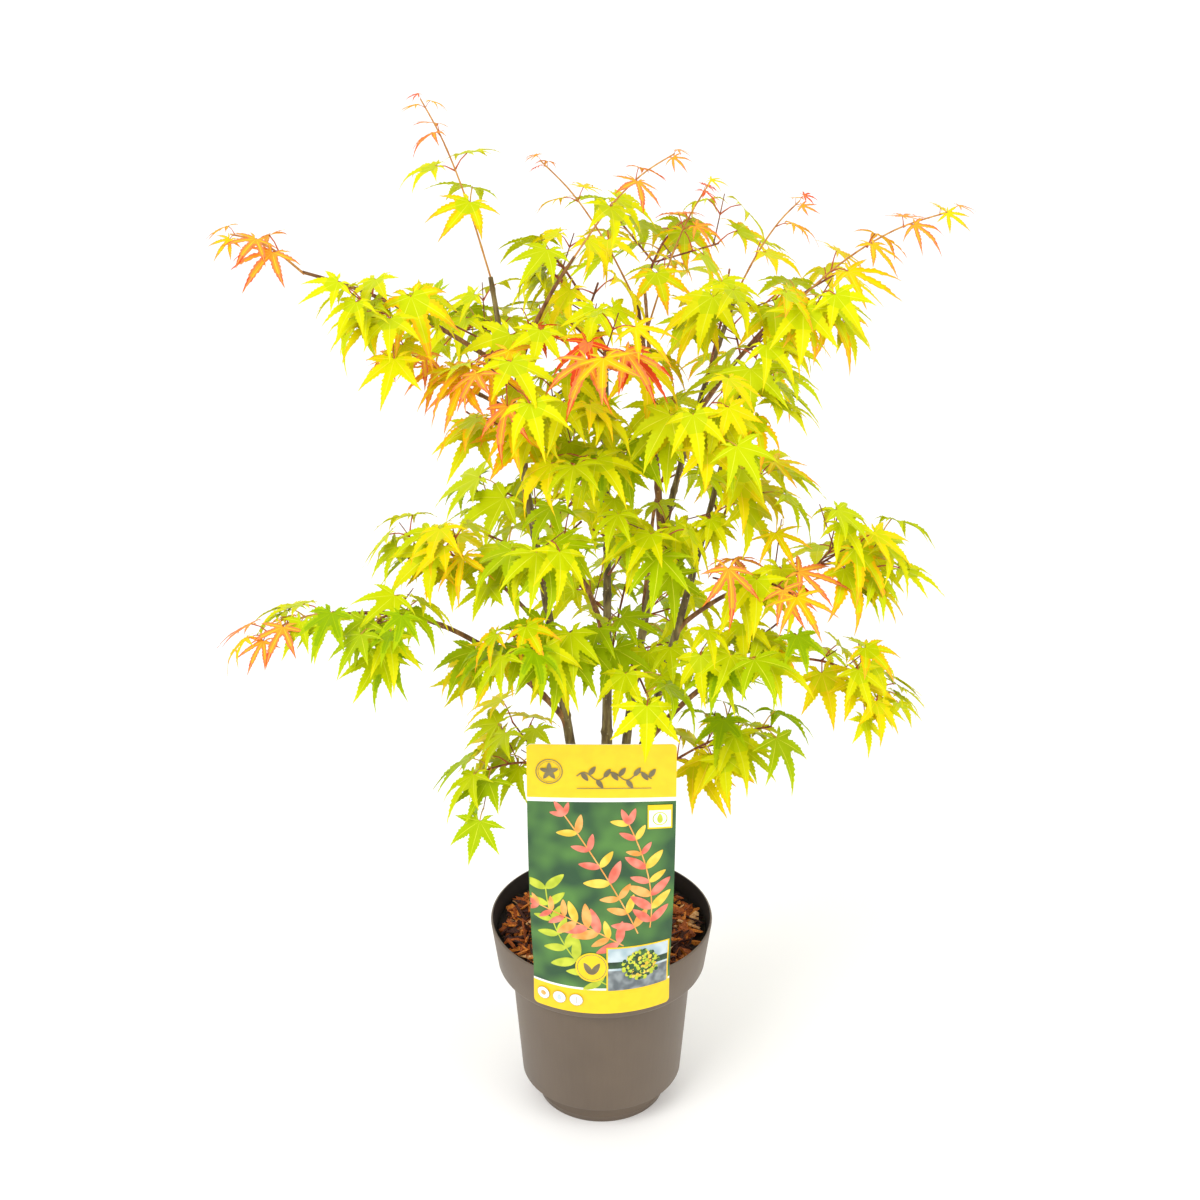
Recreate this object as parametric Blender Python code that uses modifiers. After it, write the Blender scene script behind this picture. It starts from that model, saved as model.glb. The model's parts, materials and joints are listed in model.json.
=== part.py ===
"""Potted japanese maple: a young many-stemmed shrub in a round nursery pot, with a plant card.

Metres, +Z up. The origin is the middle of the pot's flat underside, and the plant card faces -Y.
A short trunk stands in bark mulch and forks into stems. The stems carry side boughs, and every mass of
leaves grows by one seeded rule from a single twig that starts 0.3 mm clear of the limb that carries it.
"""

import math
import random
from collections import namedtuple

import bmesh
import bpy
from mathutils import Matrix, Vector
from mathutils.bvhtree import BVHTree

GAP = 0.0003
UP = Vector((0, 0, 1))

# Pot: a thin moulded shell with a deep stacking collar, a tapered body and a recessed foot.
POT_HEIGHT = 0.180
RIM_RADIUS = 0.095
COLLAR_DROP = 0.045
COLLAR_FOOT_RADIUS = 0.0890
BODY_TOP_RADIUS = 0.0780
BODY_FOOT_RADIUS = 0.0695
FOOT_HEIGHT = 0.022
FOOT_TOP_RADIUS = 0.0590
FOOT_RADIUS = 0.0550
RIM_TOP = (0.0008, 0.0016)
RIM_ROUND = 0.0015
COLLAR_STEP = 0.0010
FOOT_STEP = 0.0030
POT_WALL = 0.0022
POT_FLOOR = 0.0030
POT_SIDES = 26
DRAIN_HOLES = 4
DRAIN_RADIUS = 0.0050
DRAIN_CIRCLE = 0.0400
DRAIN_SIDES = 8

# Growing medium with its bark mulch, level with the foot of the trunk.
MULCH_DROP = 0.0125
MULCH_TOP = POT_HEIGHT - MULCH_DROP

# Plant card: a thin printed board, bent round the rim at its foot and nearly flat at its head.
CARD_WIDTH = 0.120
CARD_FOOT = 0.147
CARD_BEND = POT_HEIGHT + 0.004
CARD_HEAD = 0.392
CARD_THICKNESS = 0.0008
CARD_LEAN = 0.024
CARD_CORNER = 0.004
FLATTEST = 0.5
CARD_ROUND = RIM_RADIUS + 0.0014
CARD_COLUMNS = 10
CARD_ROWS = 4
TONGUE_WIDTH = 0.020
TONGUE_REACH = 0.0068
TONGUE_DROP = 0.0105
TONGUE_SINK = 0.0001

# Trunk: from the flat cut at the mulch to its fork, thickest at the root flare.
TRUNK_FORK = Vector((0.004, 0.001, 0.300))
TRUNK_FLARE = (
    (0.00, 0.0170),
    (0.04, 0.0140),
    (0.10, 0.0118),
    (0.22, 0.0105),
    (0.45, 0.0098),
    (0.72, 0.0092),
    (1.00, 0.0084),
)

# Limbs: each starts on its carrier at a share of the carrier's length and runs to its tip in one bow.
# The bow moves the middle of the limb off the straight line. Thick gives its first and last radius.
Limb = namedtuple("Limb", "name carrier at tip bow thick sides")
LIMBS = (
    Limb("stem_centre", "trunk", 1, (0.003, 0, 0.7), (0.001, 0.003, 0), (0.0045, 0.0018), 8),
    Limb("stem_left", "trunk", 0.8, (-0.083, -0.02, 0.765), (0, -0.001, 0), (0.0046, 0.0018), 8),
    Limb("stem_back", "trunk", 0.7, (0.105, 0.05, 0.727), (-0.019, 0, 0), (0.0044, 0.0017), 8),
    Limb("stem_right", "trunk", 0.88, (0.106, -0.04, 0.686), (0.002, -0.003, 0), (0.0044, 0.0016), 8),
    Limb("stem_fork", "stem_back", 0.62, (0.028, 0.052, 0.716), (0.002, 0.001, 0), (0.003, 0.0016), 6),
    Limb("stem_high", "stem_left", 0.82, (-0.02, -0.045, 0.79), (-0.007, -0.002, 0), (0.0021, 0.0012), 6),
    Limb("bough_high_left", "stem_left", 0.86, (-0.216, -0.078, 0.79), (0, 0, 0.009), (0.002, 0.0012), 6),
    Limb("bough_mid_left", "stem_left", 0.79, (-0.118, -0.045, 0.694), (0, 0, 0.001), (0.0018, 0.0012), 6),
    Limb("bough_inner_left", "stem_left", 0.4, (-0.086, -0.062, 0.537), (0, 0, 0.003), (0.0019, 0.0012), 6),
    Limb("bough_low_left", "stem_left", 0.26, (-0.19, -0.1, 0.524), (0, 0, 0.028), (0.0027, 0.0013), 6),
    Limb("bough_high_right", "stem_back", 0.82, (0.135, 0.005, 0.722), (0, 0, 0.005), (0.002, 0.0012), 6),
    Limb("bough_mid_right", "stem_right", 0.5, (0.145, -0.06, 0.537), (0, 0, 0.008), (0.002, 0.0012), 6),
    Limb("bough_low_right", "stem_right", 0.24, (0.15, -0.062, 0.465), (0, 0, 0.02), (0.0025, 0.0013), 6),
    Limb("bough_back_left", "stem_centre", 0.36, (-0.035, 0.1, 0.492), (0, 0, 0.012), (0.0024, 0.0013), 6),
    Limb("bough_back_right", "stem_back", 0.42, (0.045, 0.125, 0.512), (0, 0, 0.008), (0.0023, 0.0013), 6),
    Limb("bough_back_high", "stem_fork", 0.4, (0.035, 0.135, 0.7), (0, 0, 0.006), (0.0019, 0.0012), 6),
    Limb("bough_back_far", "stem_left", 0.66, (-0.065, 0.085, 0.655), (0, 0, 0.008), (0.0019, 0.0012), 6),
)
LIMB_RINGS = 6

# Leaf masses: one twig runs from its carrier to the tip, with side shoots first and then leaf pairs.
# Leaf is the length of a full leaf's middle lobe, and loss the share of it that a leaf at the tip lacks. Loss is
# greatest on young shoots, whose twigs are also finer and whose leaves are more level. Reach is the radius of the
# mass's own space round its twig.
Mass = namedtuple("Mass", "name carrier at tip shoots pairs leaf loss reach tint")
MASSES = (
    Mass("leaves_top_left", "stem_left", 1, (-0.131, -0.02, 0.901), 0, 4, 0.064, 0.8, 0.075, "yellow"),
    Mass("leaves_top_fork", "stem_fork", 1, (-0.047, 0.07, 0.827), 0, 3, 0.058, 0.75, 0.07, "gold"),
    Mass("leaves_top_centre", "stem_high", 1, (0.052, -0.055, 0.871), 0, 3, 0.056, 0.75, 0.075, "yellow"),
    Mass("leaves_top_middle", "stem_fork", 0.86, (0.08, 0.03, 0.82), 0, 3, 0.054, 0.7, 0.072, "gold"),
    Mass("leaves_top_right", "stem_back", 1, (0.152, 0.055, 0.8), 0, 3, 0.05, 0.7, 0.072, "yellow"),
    Mass("leaves_far_high_right", "bough_high_right", 1, (0.261, 0, 0.81), 0, 4, 0.056, 0.65, 0.074, "coral"),
    Mass("leaves_high_right", "bough_high_right", 0.7, (0.158, -0.07, 0.756), 1, 3, 0.054, 0.18, 0.083, "gold"),
    Mass("leaves_far_high_left", "bough_high_left", 1, (-0.265, -0.085, 0.821), 0, 3, 0.046, 0.5, 0.066, "coral"),
    Mass("leaves_high_left", "bough_high_left", 0.5, (-0.158, -0.12, 0.772), 0, 3, 0.057, 0.18, 0.083, "yellow"),
    Mass("leaves_mid_left", "bough_mid_left", 1, (-0.152, -0.08, 0.722), 0, 3, 0.049, 0.6, 0.078, "gold"),
    Mass("leaves_left_front", "stem_left", 0.88, (-0.082, -0.128, 0.735), 1, 3, 0.057, 0.18, 0.086, "coral"),
    Mass("leaves_centre_front", "stem_centre", 0.95, (0.002, -0.13, 0.742), 1, 3, 0.059, 0.18, 0.086, "coral"),
    Mass("leaves_high_centre", "stem_centre", 1, (-0.04, -0.01, 0.782), 1, 4, 0.057, 0.18, 0.083, "lime"),
    Mass("leaves_right_crown", "stem_back", 0.86, (0.098, -0.04, 0.756), 2, 3, 0.055, 0.18, 0.086, "lime"),
    Mass("leaves_right_front", "stem_right", 0.86, (0.066, -0.125, 0.695), 1, 3, 0.057, 0.18, 0.083, "lime"),
    Mass("leaves_right_top", "stem_right", 0.97, (0.121, -0.085, 0.716), 0, 4, 0.055, 0.18, 0.08, "lime"),
    Mass("leaves_waist_left", "stem_left", 0.7, (-0.078, -0.085, 0.674), 1, 3, 0.052, 0.18, 0.08, "gold"),
    Mass("leaves_centre_middle", "stem_left", 0.76, (-0.02, -0.105, 0.694), 1, 3, 0.054, 0.18, 0.08, "lime"),
    Mass("leaves_waist_centre", "stem_centre", 0.74, (-0.02, -0.115, 0.652), 1, 3, 0.057, 0.18, 0.083, "lime"),
    Mass("leaves_waist_right", "stem_right", 0.66, (0.12, -0.06, 0.62), 1, 3, 0.055, 0.18, 0.078, "yellow"),
    Mass("leaves_inner_left", "bough_inner_left", 1, (-0.148, -0.078, 0.56), 1, 3, 0.053, 0.18, 0.08, "yellow"),
    Mass("leaves_left_middle", "stem_left", 0.5, (-0.052, -0.12, 0.582), 2, 3, 0.057, 0.18, 0.09, "lime"),
    Mass("leaves_front_middle", "stem_centre", 0.52, (0.052, -0.115, 0.596), 1, 3, 0.057, 0.18, 0.09, "lime"),
    Mass("leaves_far_low_left", "bough_low_left", 1, (-0.256, -0.124, 0.517), 0, 4, 0.051, 0.35, 0.076, "yellow"),
    Mass("leaves_low_left", "bough_low_left", 0.75, (-0.172, -0.148, 0.535), 1, 3, 0.053, 0.18, 0.08, "lime"),
    Mass("leaves_low_inner_left", "bough_low_left", 0.2, (-0.06, -0.13, 0.504), 1, 3, 0.057, 0.18, 0.088, "lime"),
    Mass("leaves_foot_left", "stem_left", 0.14, (-0.094, -0.052, 0.356), 1, 3, 0.059, 0.18, 0.083, "lime"),
    Mass("leaves_low_front", "stem_centre", 0.34, (0.036, -0.13, 0.466), 1, 3, 0.057, 0.18, 0.088, "lime"),
    Mass("leaves_mid_right", "bough_mid_right", 1, (0.212, -0.07, 0.548), 1, 3, 0.055, 0.18, 0.08, "yellow"),
    Mass("leaves_right_coral", "bough_mid_right", 0.4, (0.142, -0.135, 0.558), 2, 3, 0.055, 0.18, 0.088, "coral"),
    Mass("leaves_far_low_right", "bough_low_right", 1, (0.222, -0.09, 0.448), 0, 4, 0.05, 0.18, 0.07, "yellow"),
    Mass("leaves_low_right", "bough_low_right", 0.5, (0.108, -0.135, 0.502), 1, 3, 0.055, 0.18, 0.088, "lime"),
    Mass("leaves_foot_right", "stem_right", 0.1, (0.138, -0.03, 0.384), 0, 4, 0.057, 0.18, 0.08, "lime"),
    Mass("leaves_back_left", "bough_back_left", 1, (-0.05, 0.162, 0.495), 1, 3, 0.059, 0.18, 0.098, "lime"),
    Mass("leaves_back_right", "bough_back_right", 1, (0.064, 0.182, 0.532), 1, 3, 0.059, 0.18, 0.098, "lime"),
    Mass("leaves_back_high", "bough_back_high", 1, (0.06, 0.205, 0.725), 1, 3, 0.059, 0.18, 0.098, "lime"),
    Mass("leaves_back_far", "bough_back_far", 1, (-0.098, 0.15, 0.668), 1, 3, 0.059, 0.18, 0.098, "lime"),
    Mass("leaves_back_low", "stem_centre", 0.28, (0.03, 0.15, 0.45), 1, 3, 0.059, 0.18, 0.098, "lime"),
    Mass("leaves_back_right_high", "stem_back", 0.8, (0.19, 0.14, 0.71), 1, 3, 0.059, 0.18, 0.093, "lime"),
)
# Shoots lean and leaves head partly along their twig (first number) and partly out of it (second).
STEM_RADII = (0.0019, 0.0013)
THINNING = 0.5
SHOOT_RADII = (0.0014, 0.0012)
STEM_RINGS = 4
SHOOT_RINGS = 2
FIRST_NODE = 0.30
LAST_NODE = 0.93
ARCH = 0.10
STEEP = 0.75
SHOOT_LEAN = (0.55, 0.85)
SHOOT_LIFT = (-0.05, 0.45)
SHOOT_REACH = (0.45, 0.60)
SHOOT_NODE = 0.60
LEAF_LEAN = (0.50, 1.00)
LEAF_SPREAD = (0.88, 1.08)
TIP_LEAF = 0.97
NODE_SWAY = 20
TRIES = 9

# A leaf: five lobes by their angle from the middle one and their share of its length, with a notch between
# each two, on a stalk. The blade hangs from its stalk and faces up and outward.
LOBES = ((-90, 0.56), (-44, 0.86), (0, 1.00), (44, 0.86), (90, 0.56))
NOTCHES = (0.30, 0.42, 0.42, 0.30)
STALK = 0.42
STALK_RADIUS = 0.0005
STALK_SAG = 0.4
ROOT_SINK = 0.0002
TIP_SINK = 0.0012
HEART_RISE = 0.0010
BLADE_HEART = 0.16
BLADE_CUP = 0.16
STALK_RISE = (0.05, 0.35)
HANG = (14, 62)
LEVELLING = 0.8
ROLL = 24
FOLD = 82
OUTWARD = 0.55
HALFWAY = 0.5
LIMB_CLEARANCE = 0.005
TWIG_CLEARANCE = 0.002
NEIGHBOURHOOD = 0.14
BARE_SHARE = 0.20
SHRINK = 0.97

COLOURS = {
    "pot_plastic": ("#7E7466", 0.45),
    "bark_mulch": ("#6E3A1C", 0.90),
    "printed_card": ("#2F7A3C", 0.35),
    "bark": ("#6B5B33", 0.70),
    "lime_leaf": ("#A8D21C", 0.45),
    "yellow_leaf": ("#DCE01A", 0.45),
    "gold_leaf": ("#F3BC28", 0.45),
    "coral_leaf": ("#EE7C4A", 0.45),
}

Path = namedtuple("Path", "points radii")
Leaf = namedtuple("Leaf", "root frame size")


def linear(channel):
    if channel <= 0.04045:
        return channel / 12.92
    return ((channel + 0.055) / 1.055) ** 2.4


def make_material(name):
    colour, roughness = COLOURS[name]
    material = bpy.data.materials.new(name)
    material.use_nodes = True
    shader = material.node_tree.nodes["Principled BSDF"]
    channels = [linear(int(colour[i : i + 2], 16) / 255) for i in (1, 3, 5)]
    shader.inputs["Base Color"].default_value = (*channels, 1)
    shader.inputs["Roughness"].default_value = roughness
    shader.inputs["Metallic"].default_value = 0
    material.diffuse_color = (*channels, 1)
    return material


def add_object(name, data, collection, material=None):
    item = bpy.data.objects.new(name, data)
    collection.objects.link(item)
    if material:
        data.materials.append(material)
    return item


def mesh_from(name, shape):
    mesh = bpy.data.meshes.new(name)
    shape.to_mesh(mesh)
    shape.free()
    return mesh


# Turned pieces: the pot and its filling.


def shell_steps(inset):
    """Corners of the pot's wall from rim to foot, moved in from the outer face by the inset."""
    collar_foot = POT_HEIGHT - COLLAR_DROP + inset
    foot_top = FOOT_HEIGHT + inset
    return [
        (RIM_RADIUS - inset, POT_HEIGHT - RIM_ROUND),
        (COLLAR_FOOT_RADIUS - inset, collar_foot + COLLAR_STEP),
        (BODY_TOP_RADIUS - inset, collar_foot),
        (BODY_FOOT_RADIUS - inset, foot_top + FOOT_STEP),
        (FOOT_TOP_RADIUS - inset, foot_top),
    ]


def turned(name, profile, collection, material):
    """A solid of revolution whose profile runs down its outer side, closed at the axis."""
    mesh = bpy.data.meshes.new(name)
    edges = [(i, i + 1) for i in range(len(profile) - 1)]
    mesh.from_pydata([(radius, 0, height) for radius, height in profile], edges, [])
    item = add_object(name, mesh, collection, material)
    screw = item.modifiers.new("turn", "SCREW")
    screw.steps = POT_SIDES
    screw.render_steps = POT_SIDES
    screw.use_merge_vertices = True
    screw.merge_threshold = 0.00001
    return item


def add_pot(collection, cutters):
    inside = shell_steps(POT_WALL)[::-1]
    profile = [(0, POT_FLOOR), (FOOT_RADIUS - POT_WALL, POT_FLOOR)] + inside
    profile += [(RIM_RADIUS - inset, POT_HEIGHT) for inset in RIM_TOP[::-1]]
    profile += shell_steps(0) + [(FOOT_RADIUS, 0), (0, 0)]
    pot = turned("pot", profile, collection, make_material("pot_plastic"))
    shape = bmesh.new()
    for number in range(DRAIN_HOLES):
        angle = math.tau * (number + 0.5) / DRAIN_HOLES
        place = Vector((DRAIN_CIRCLE * math.cos(angle), DRAIN_CIRCLE * math.sin(angle), 0))
        bmesh.ops.create_cone(
            shape,
            cap_ends=True,
            segments=DRAIN_SIDES,
            radius1=DRAIN_RADIUS,
            radius2=DRAIN_RADIUS,
            depth=4 * POT_FLOOR,
            matrix=Matrix.Translation(place),
        )
    holes = add_object("drain_cutter", mesh_from("drain_cutter", shape), cutters)
    holes.hide_render = True
    holes.display_type = "WIRE"
    drains = pot.modifiers.new("drains", "BOOLEAN")
    drains.operation = "DIFFERENCE"
    drains.object = holes
    return pot


def add_mulch(collection):
    wall = shell_steps(POT_WALL + GAP)
    (rim_radius, rim_height), (collar_radius, collar_height) = wall[:2]
    share = (MULCH_TOP - collar_height) / (rim_height - collar_height)
    top_radius = collar_radius + (rim_radius - collar_radius) * share
    profile = [(0, MULCH_TOP), (top_radius, MULCH_TOP)] + wall[1:]
    profile += [(FOOT_RADIUS - POT_WALL - GAP, POT_FLOOR + GAP), (0, POT_FLOOR + GAP)]
    return turned("bark_mulch", profile, collection, make_material("bark_mulch"))


# Plant card.


def card_point(across, height):
    """A point of the card's middle sheet: across along its width in metres, height from foot to head."""
    rise = max(0.0, (height - CARD_BEND) / (CARD_HEAD - CARD_BEND))
    bend = max((1 - rise) ** 1.5 / CARD_ROUND, FLATTEST)
    lean = CARD_LEAN * rise
    y = -CARD_ROUND + lean + (1 - math.cos(across * bend)) / bend
    return Vector((math.sin(across * bend) / bend, y, height))


def add_card(collection, cutters):
    shape = bmesh.new()
    bmesh.ops.create_grid(shape, x_segments=CARD_COLUMNS, y_segments=CARD_ROWS, size=0.5)
    corners = [vert for vert in shape.verts if len(vert.link_edges) == 2]
    step = (CARD_HEAD - CARD_BEND) / (CARD_ROWS - 1)
    heights = [CARD_FOOT] + [CARD_BEND + step * i for i in range(CARD_ROWS)]
    for vert in shape.verts:
        row = round((vert.co.y + 0.5) * CARD_ROWS)
        vert.co = card_point(vert.co.x * CARD_WIDTH, heights[row])
    bmesh.ops.bevel(shape, geom=corners, offset=CARD_CORNER, segments=1, profile=0.5, affect="VERTICES")
    board = mesh_from("plant_card", shape)
    card = add_object("plant_card", board, collection, make_material("printed_card"))
    solid = card.modifiers.new("board", "SOLIDIFY")
    solid.thickness = CARD_THICKNESS
    solid.offset = 0

    rest = POT_HEIGHT + GAP + CARD_THICKNESS / 2
    back = -CARD_ROUND + TONGUE_REACH
    route = ((-CARD_ROUND + TONGUE_SINK, rest), (back, rest), (back, rest - TONGUE_DROP))
    strip = bmesh.new()
    rows = []
    for y, z in route:
        rows.append([strip.verts.new((x, y, z)) for x in (-TONGUE_WIDTH / 2, TONGUE_WIDTH / 2)])
    for (a, b), (c, d) in zip(rows, rows[1:]):
        strip.faces.new((a, b, d, c))
    tongue = add_object("card_tongue", mesh_from("card_tongue", strip), cutters)
    tongue.hide_render = True
    tongue.display_type = "WIRE"
    solid = tongue.modifiers.new("board", "SOLIDIFY")
    solid.thickness = CARD_THICKNESS
    solid.offset = 0
    join = card.modifiers.new("tongue", "BOOLEAN")
    join.operation = "UNION"
    join.object = tongue
    return card


# Limbs.


def bowed(start, tip, bow, count):
    """Points on one smooth bow whose middle lies off the straight line by the bow."""
    pull = (start + tip) / 2 + 2 * bow
    shares = [i / (count - 1) for i in range(count)]
    return [start * (1 - t) ** 2 + pull * (2 * t * (1 - t)) + tip * t**2 for t in shares]


def tapered(points, radii):
    last = len(points) - 1
    return Path(points, [radii[0] + (radii[1] - radii[0]) * i / last for i in range(last + 1)])


def path_at(path, share):
    """Point, direction and radius at this share of a path."""
    reach = share * (len(path.points) - 1)
    step = min(int(reach), len(path.points) - 2)
    part = reach - step
    first, second = path.points[step], path.points[step + 1]
    radius = path.radii[step] + (path.radii[step + 1] - path.radii[step]) * part
    return first.lerp(second, part), (second - first).normalized(), radius


def start_on(carrier, share, tip, radius):
    """Where a limb of this radius starts so that its cut end lies one gap clear of its carrier."""
    point, along, thickness = path_at(carrier, share)
    toward = (tip - point).normalized()
    angle = along.angle(toward)
    if share == 1:
        return point + along * (GAP + radius * math.sin(angle))
    side = (toward - along * toward.dot(along)).normalized()
    return point + side * (thickness + GAP + radius * math.cos(angle))


def trunk_path():
    foot = Vector((0, 0, MULCH_TOP + GAP))
    shares = [share for share, radius in TRUNK_FLARE]
    points = [foot.lerp(Vector((0, 0, TRUNK_FORK.z)), share) for share in shares]
    lean = TRUNK_FORK - Vector((0, 0, TRUNK_FORK.z))
    points = [point + lean * share**2 if share > 0.1 else point for point, share in zip(points, shares)]
    return Path(points, [radius for share, radius in TRUNK_FLARE])


def limb_paths():
    paths = {"trunk": trunk_path()}
    for limb in LIMBS:
        tip = Vector(limb.tip)
        start = start_on(paths[limb.carrier], limb.at, tip, limb.thick[0])
        paths[limb.name] = tapered(bowed(start, tip, Vector(limb.bow), LIMB_RINGS), limb.thick)
    return paths


def add_limb(name, path, sides, collection, material):
    """One tapering limb: a poly curve with a round bevel, closed by flat caps."""
    curve = bpy.data.curves.new(name, "CURVE")
    curve.dimensions = "3D"
    curve.bevel_depth = max(path.radii)
    curve.bevel_resolution = sides // 2 - 2
    curve.use_fill_caps = True
    spline = curve.splines.new("POLY")
    spline.points.add(len(path.points) - 1)
    for spot, point, radius in zip(spline.points, path.points, path.radii):
        spot.co = (*(point - path.points[0]), 1)
        spot.radius = radius / curve.bevel_depth
    limb = add_object(name, curve, collection, material)
    limb.location = path.points[0]
    return limb


# Leaf masses.


def path_pieces(path):
    """The middle and the search tree of each straight piece of a path, a little thicker than it is."""
    pieces = []
    for i in range(len(path.points) - 1):
        radii = [radius + TWIG_CLEARANCE for radius in path.radii[i : i + 2]]
        shape = twig_shape(Path(path.points[i : i + 2], radii))
        pieces.append(((path.points[i] + path.points[i + 1]) / 2, BVHTree.FromBMesh(shape)))
        shape.free()
    return pieces


def mass_stem(mass, paths):
    tip = Vector(mass.tip)
    radii = [radius * (1 - THINNING * mass.loss) for radius in STEM_RADII]
    start = start_on(paths[mass.carrier], mass.at, tip, radii[0])
    arch = UP * ARCH * (tip - start).length
    return tapered(bowed(start, tip, arch, STEM_RINGS), radii)


def at_card(point):
    beside = abs(point.x) < CARD_WIDTH / 2 + LIMB_CLEARANCE
    level = CARD_FOOT < point.z < CARD_HEAD + LIMB_CLEARANCE
    return beside and level and abs(point.y + CARD_ROUND - CARD_LEAN / 2) < CARD_LEAN


def distance_to(path, point, most):
    """Distance from a point to the skin of a path, or the most where the path is farther off than that."""
    nearest = most
    if (point - path.points[0]).length > (path.points[-1] - path.points[0]).length + 0.01 + most:
        return nearest
    for first, second, radius in zip(path.points, path.points[1:], path.radii):
        run = second - first
        share = min(max((point - first).dot(run) / run.length_squared, 0), 1)
        nearest = min(nearest, (first + run * share - point).length - radius)
    return nearest


class Room:
    """The space of one mass, within reach of its stem, and what grows in the crown beside it."""

    def __init__(self, mass, stems, limbs, grown):
        self.stem = stems[mass.name]
        self.reach = mass.reach
        self.droop = 1 - LEVELLING * mass.loss
        self.others = [stem for name, stem in stems.items() if name != mass.name]
        self.limbs = limbs + self.others
        self.twigs = [self.stem]
        self.grown = grown

    def holds(self, points, clearance):
        """Whether points lie in the space, clear of the plant card and of the limbs."""
        for point in points:
            if distance_to(self.stem, point, self.reach) >= self.reach or at_card(point):
                return False
            if any(distance_to(path, point, clearance) < clearance for path in self.limbs):
                return False
        return True

    def is_nearest(self, point):
        """Whether this mass's stem is the nearest to a point."""
        depth = distance_to(self.stem, point, self.reach)
        return all(distance_to(other, point, self.reach) >= depth for other in self.others)

    def fits(self, shape, middle):
        """Whether a shape crosses nothing that has grown already. It is then counted as grown."""
        tree = BVHTree.FromBMesh(shape)
        shape.free()
        for spot, other in self.grown:
            if (middle - spot).length < NEIGHBOURHOOD and tree.overlap(other):
                return False
        self.grown.append((middle, tree))
        return True

    def holds_leaf(self, leaf):
        """Whether a leaf stays in the space, off the twigs, and apart from its neighbours."""
        lobes = [blade_point(leaf, angle, share) for angle, share in LOBES]
        halfway = [blade_point(leaf, angle, HALFWAY * share) for angle, share in LOBES]
        heart = blade_point(leaf, 0, HALFWAY)
        if not self.is_nearest(heart):
            return False
        for point in lobes + halfway:
            if any(distance_to(twig, point, TWIG_CLEARANCE) < TWIG_CLEARANCE for twig in self.twigs):
                return False
        if not self.holds(lobes + halfway + [leaf.frame.translation], LIMB_CLEARANCE):
            return False
        return self.fits(leaf_shape(leaf, BARE_SHARE), heart)


def blade_point(leaf, angle, share):
    """A point of the blade at an angle from the middle lobe and a share of its length, cupped down."""
    turn = math.radians(angle)
    reach = share * leaf.size
    drop = -BLADE_CUP * share * reach
    return leaf.frame @ Vector((reach * math.cos(turn), reach * math.sin(turn), drop))


def try_leaf(rng, root, heading, size, room):
    """A leaf that hangs outward from its root, or None where there is no room for it."""
    for attempt in range(TRIES):
        size *= SHRINK if attempt else 1
        widest = NODE_SWAY * (1 + attempt / 3)
        sway = Matrix.Rotation(math.radians(rng.uniform(-widest, widest)), 3, "Z")
        stalk = (sway @ heading + UP * rng.uniform(*STALK_RISE)).normalized()
        joint = root + stalk * STALK * size
        outward = Vector((joint.x, joint.y, 0)).normalized() * OUTWARD
        flat = (Vector((stalk.x, stalk.y, 0)) + outward).normalized()
        hang = math.radians(rng.uniform(*HANG) * room.droop)
        axis = flat * math.cos(hang) - UP * math.sin(hang)
        if stalk.angle(axis) > math.radians(FOLD):
            continue
        normal = flat * math.sin(hang) + UP * math.cos(hang)
        normal = Matrix.Rotation(math.radians(rng.uniform(-ROLL, ROLL)), 3, axis) @ normal
        frame = Matrix((axis, normal.cross(axis), normal)).transposed().to_4x4()
        frame.translation = joint
        leaf = Leaf(root - stalk * ROOT_SINK, frame, size)
        if room.holds_leaf(leaf):
            return leaf
    return None


def node_side(along, turn):
    """The direction out of a twig at a node, turned about the twig."""
    side = along.cross(UP)
    if side.length < 0.05:
        side = Vector((1, 0, 0))
    return Matrix.Rotation(turn, 3, along) @ side.normalized()


def leaning(along, out, shares, lift=0.0):
    """A direction partly along a twig and partly out of it, with a lift."""
    return (along * shares[0] + out * shares[1] + UP * lift).normalized()


def grow(mass, stem, room):
    """Side shoots and leaves along the stem of one mass, in opposite pairs, with a leaf at each tip."""
    rng = random.Random(mass.name)
    shoots = []
    leaves = []
    nodes = mass.shoots + mass.pairs
    for node in range(nodes):
        share = FIRST_NODE + (LAST_NODE - FIRST_NODE) * node / (nodes - 1)
        point, along, radius = path_at(stem, share)
        turn = math.radians(rng.uniform(-NODE_SWAY, NODE_SWAY))
        if abs(along.z) > STEEP:
            turn += math.pi / 2 * (node % 2)
        side = node_side(along, turn)
        for out in (side, -side):
            size = mass.leaf * rng.uniform(*LEAF_SPREAD) * (1 - mass.loss * share)
            if node >= mass.shoots:
                leaves.append(try_leaf(rng, point, leaning(along, out, LEAF_LEAN), size, room))
                continue
            toward = leaning(along, out, SHOOT_LEAN, rng.uniform(*SHOOT_LIFT))
            tip = point + toward * mass.reach * rng.uniform(*SHOOT_REACH)
            shoot = tapered(bowed(point, tip, UP * ARCH * mass.reach, SHOOT_RINGS), SHOOT_RADII)
            if not room.holds(shoot.points[1:], TWIG_CLEARANCE):
                continue
            bare = tapered([point.lerp(tip, BARE_SHARE), tip], SHOOT_RADII)
            if not room.fits(twig_shape(bare), (point + tip) / 2):
                continue
            shoots.append(shoot)
            room.twigs.append(shoot)
            middle, toward, radius = path_at(shoot, SHOOT_NODE)
            for beside in (node_side(toward, turn), -node_side(toward, turn)):
                leaves.append(try_leaf(rng, middle, leaning(toward, beside, LEAF_LEAN), size, room))
            leaves.append(try_leaf(rng, tip - toward * TIP_SINK, toward, size, room))
    point, along, radius = path_at(stem, 1)
    size = mass.leaf * TIP_LEAF * (1 - mass.loss)
    leaves.append(try_leaf(rng, point - along * TIP_SINK, along, size, room))
    return shoots, [leaf for leaf in leaves if leaf]


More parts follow.
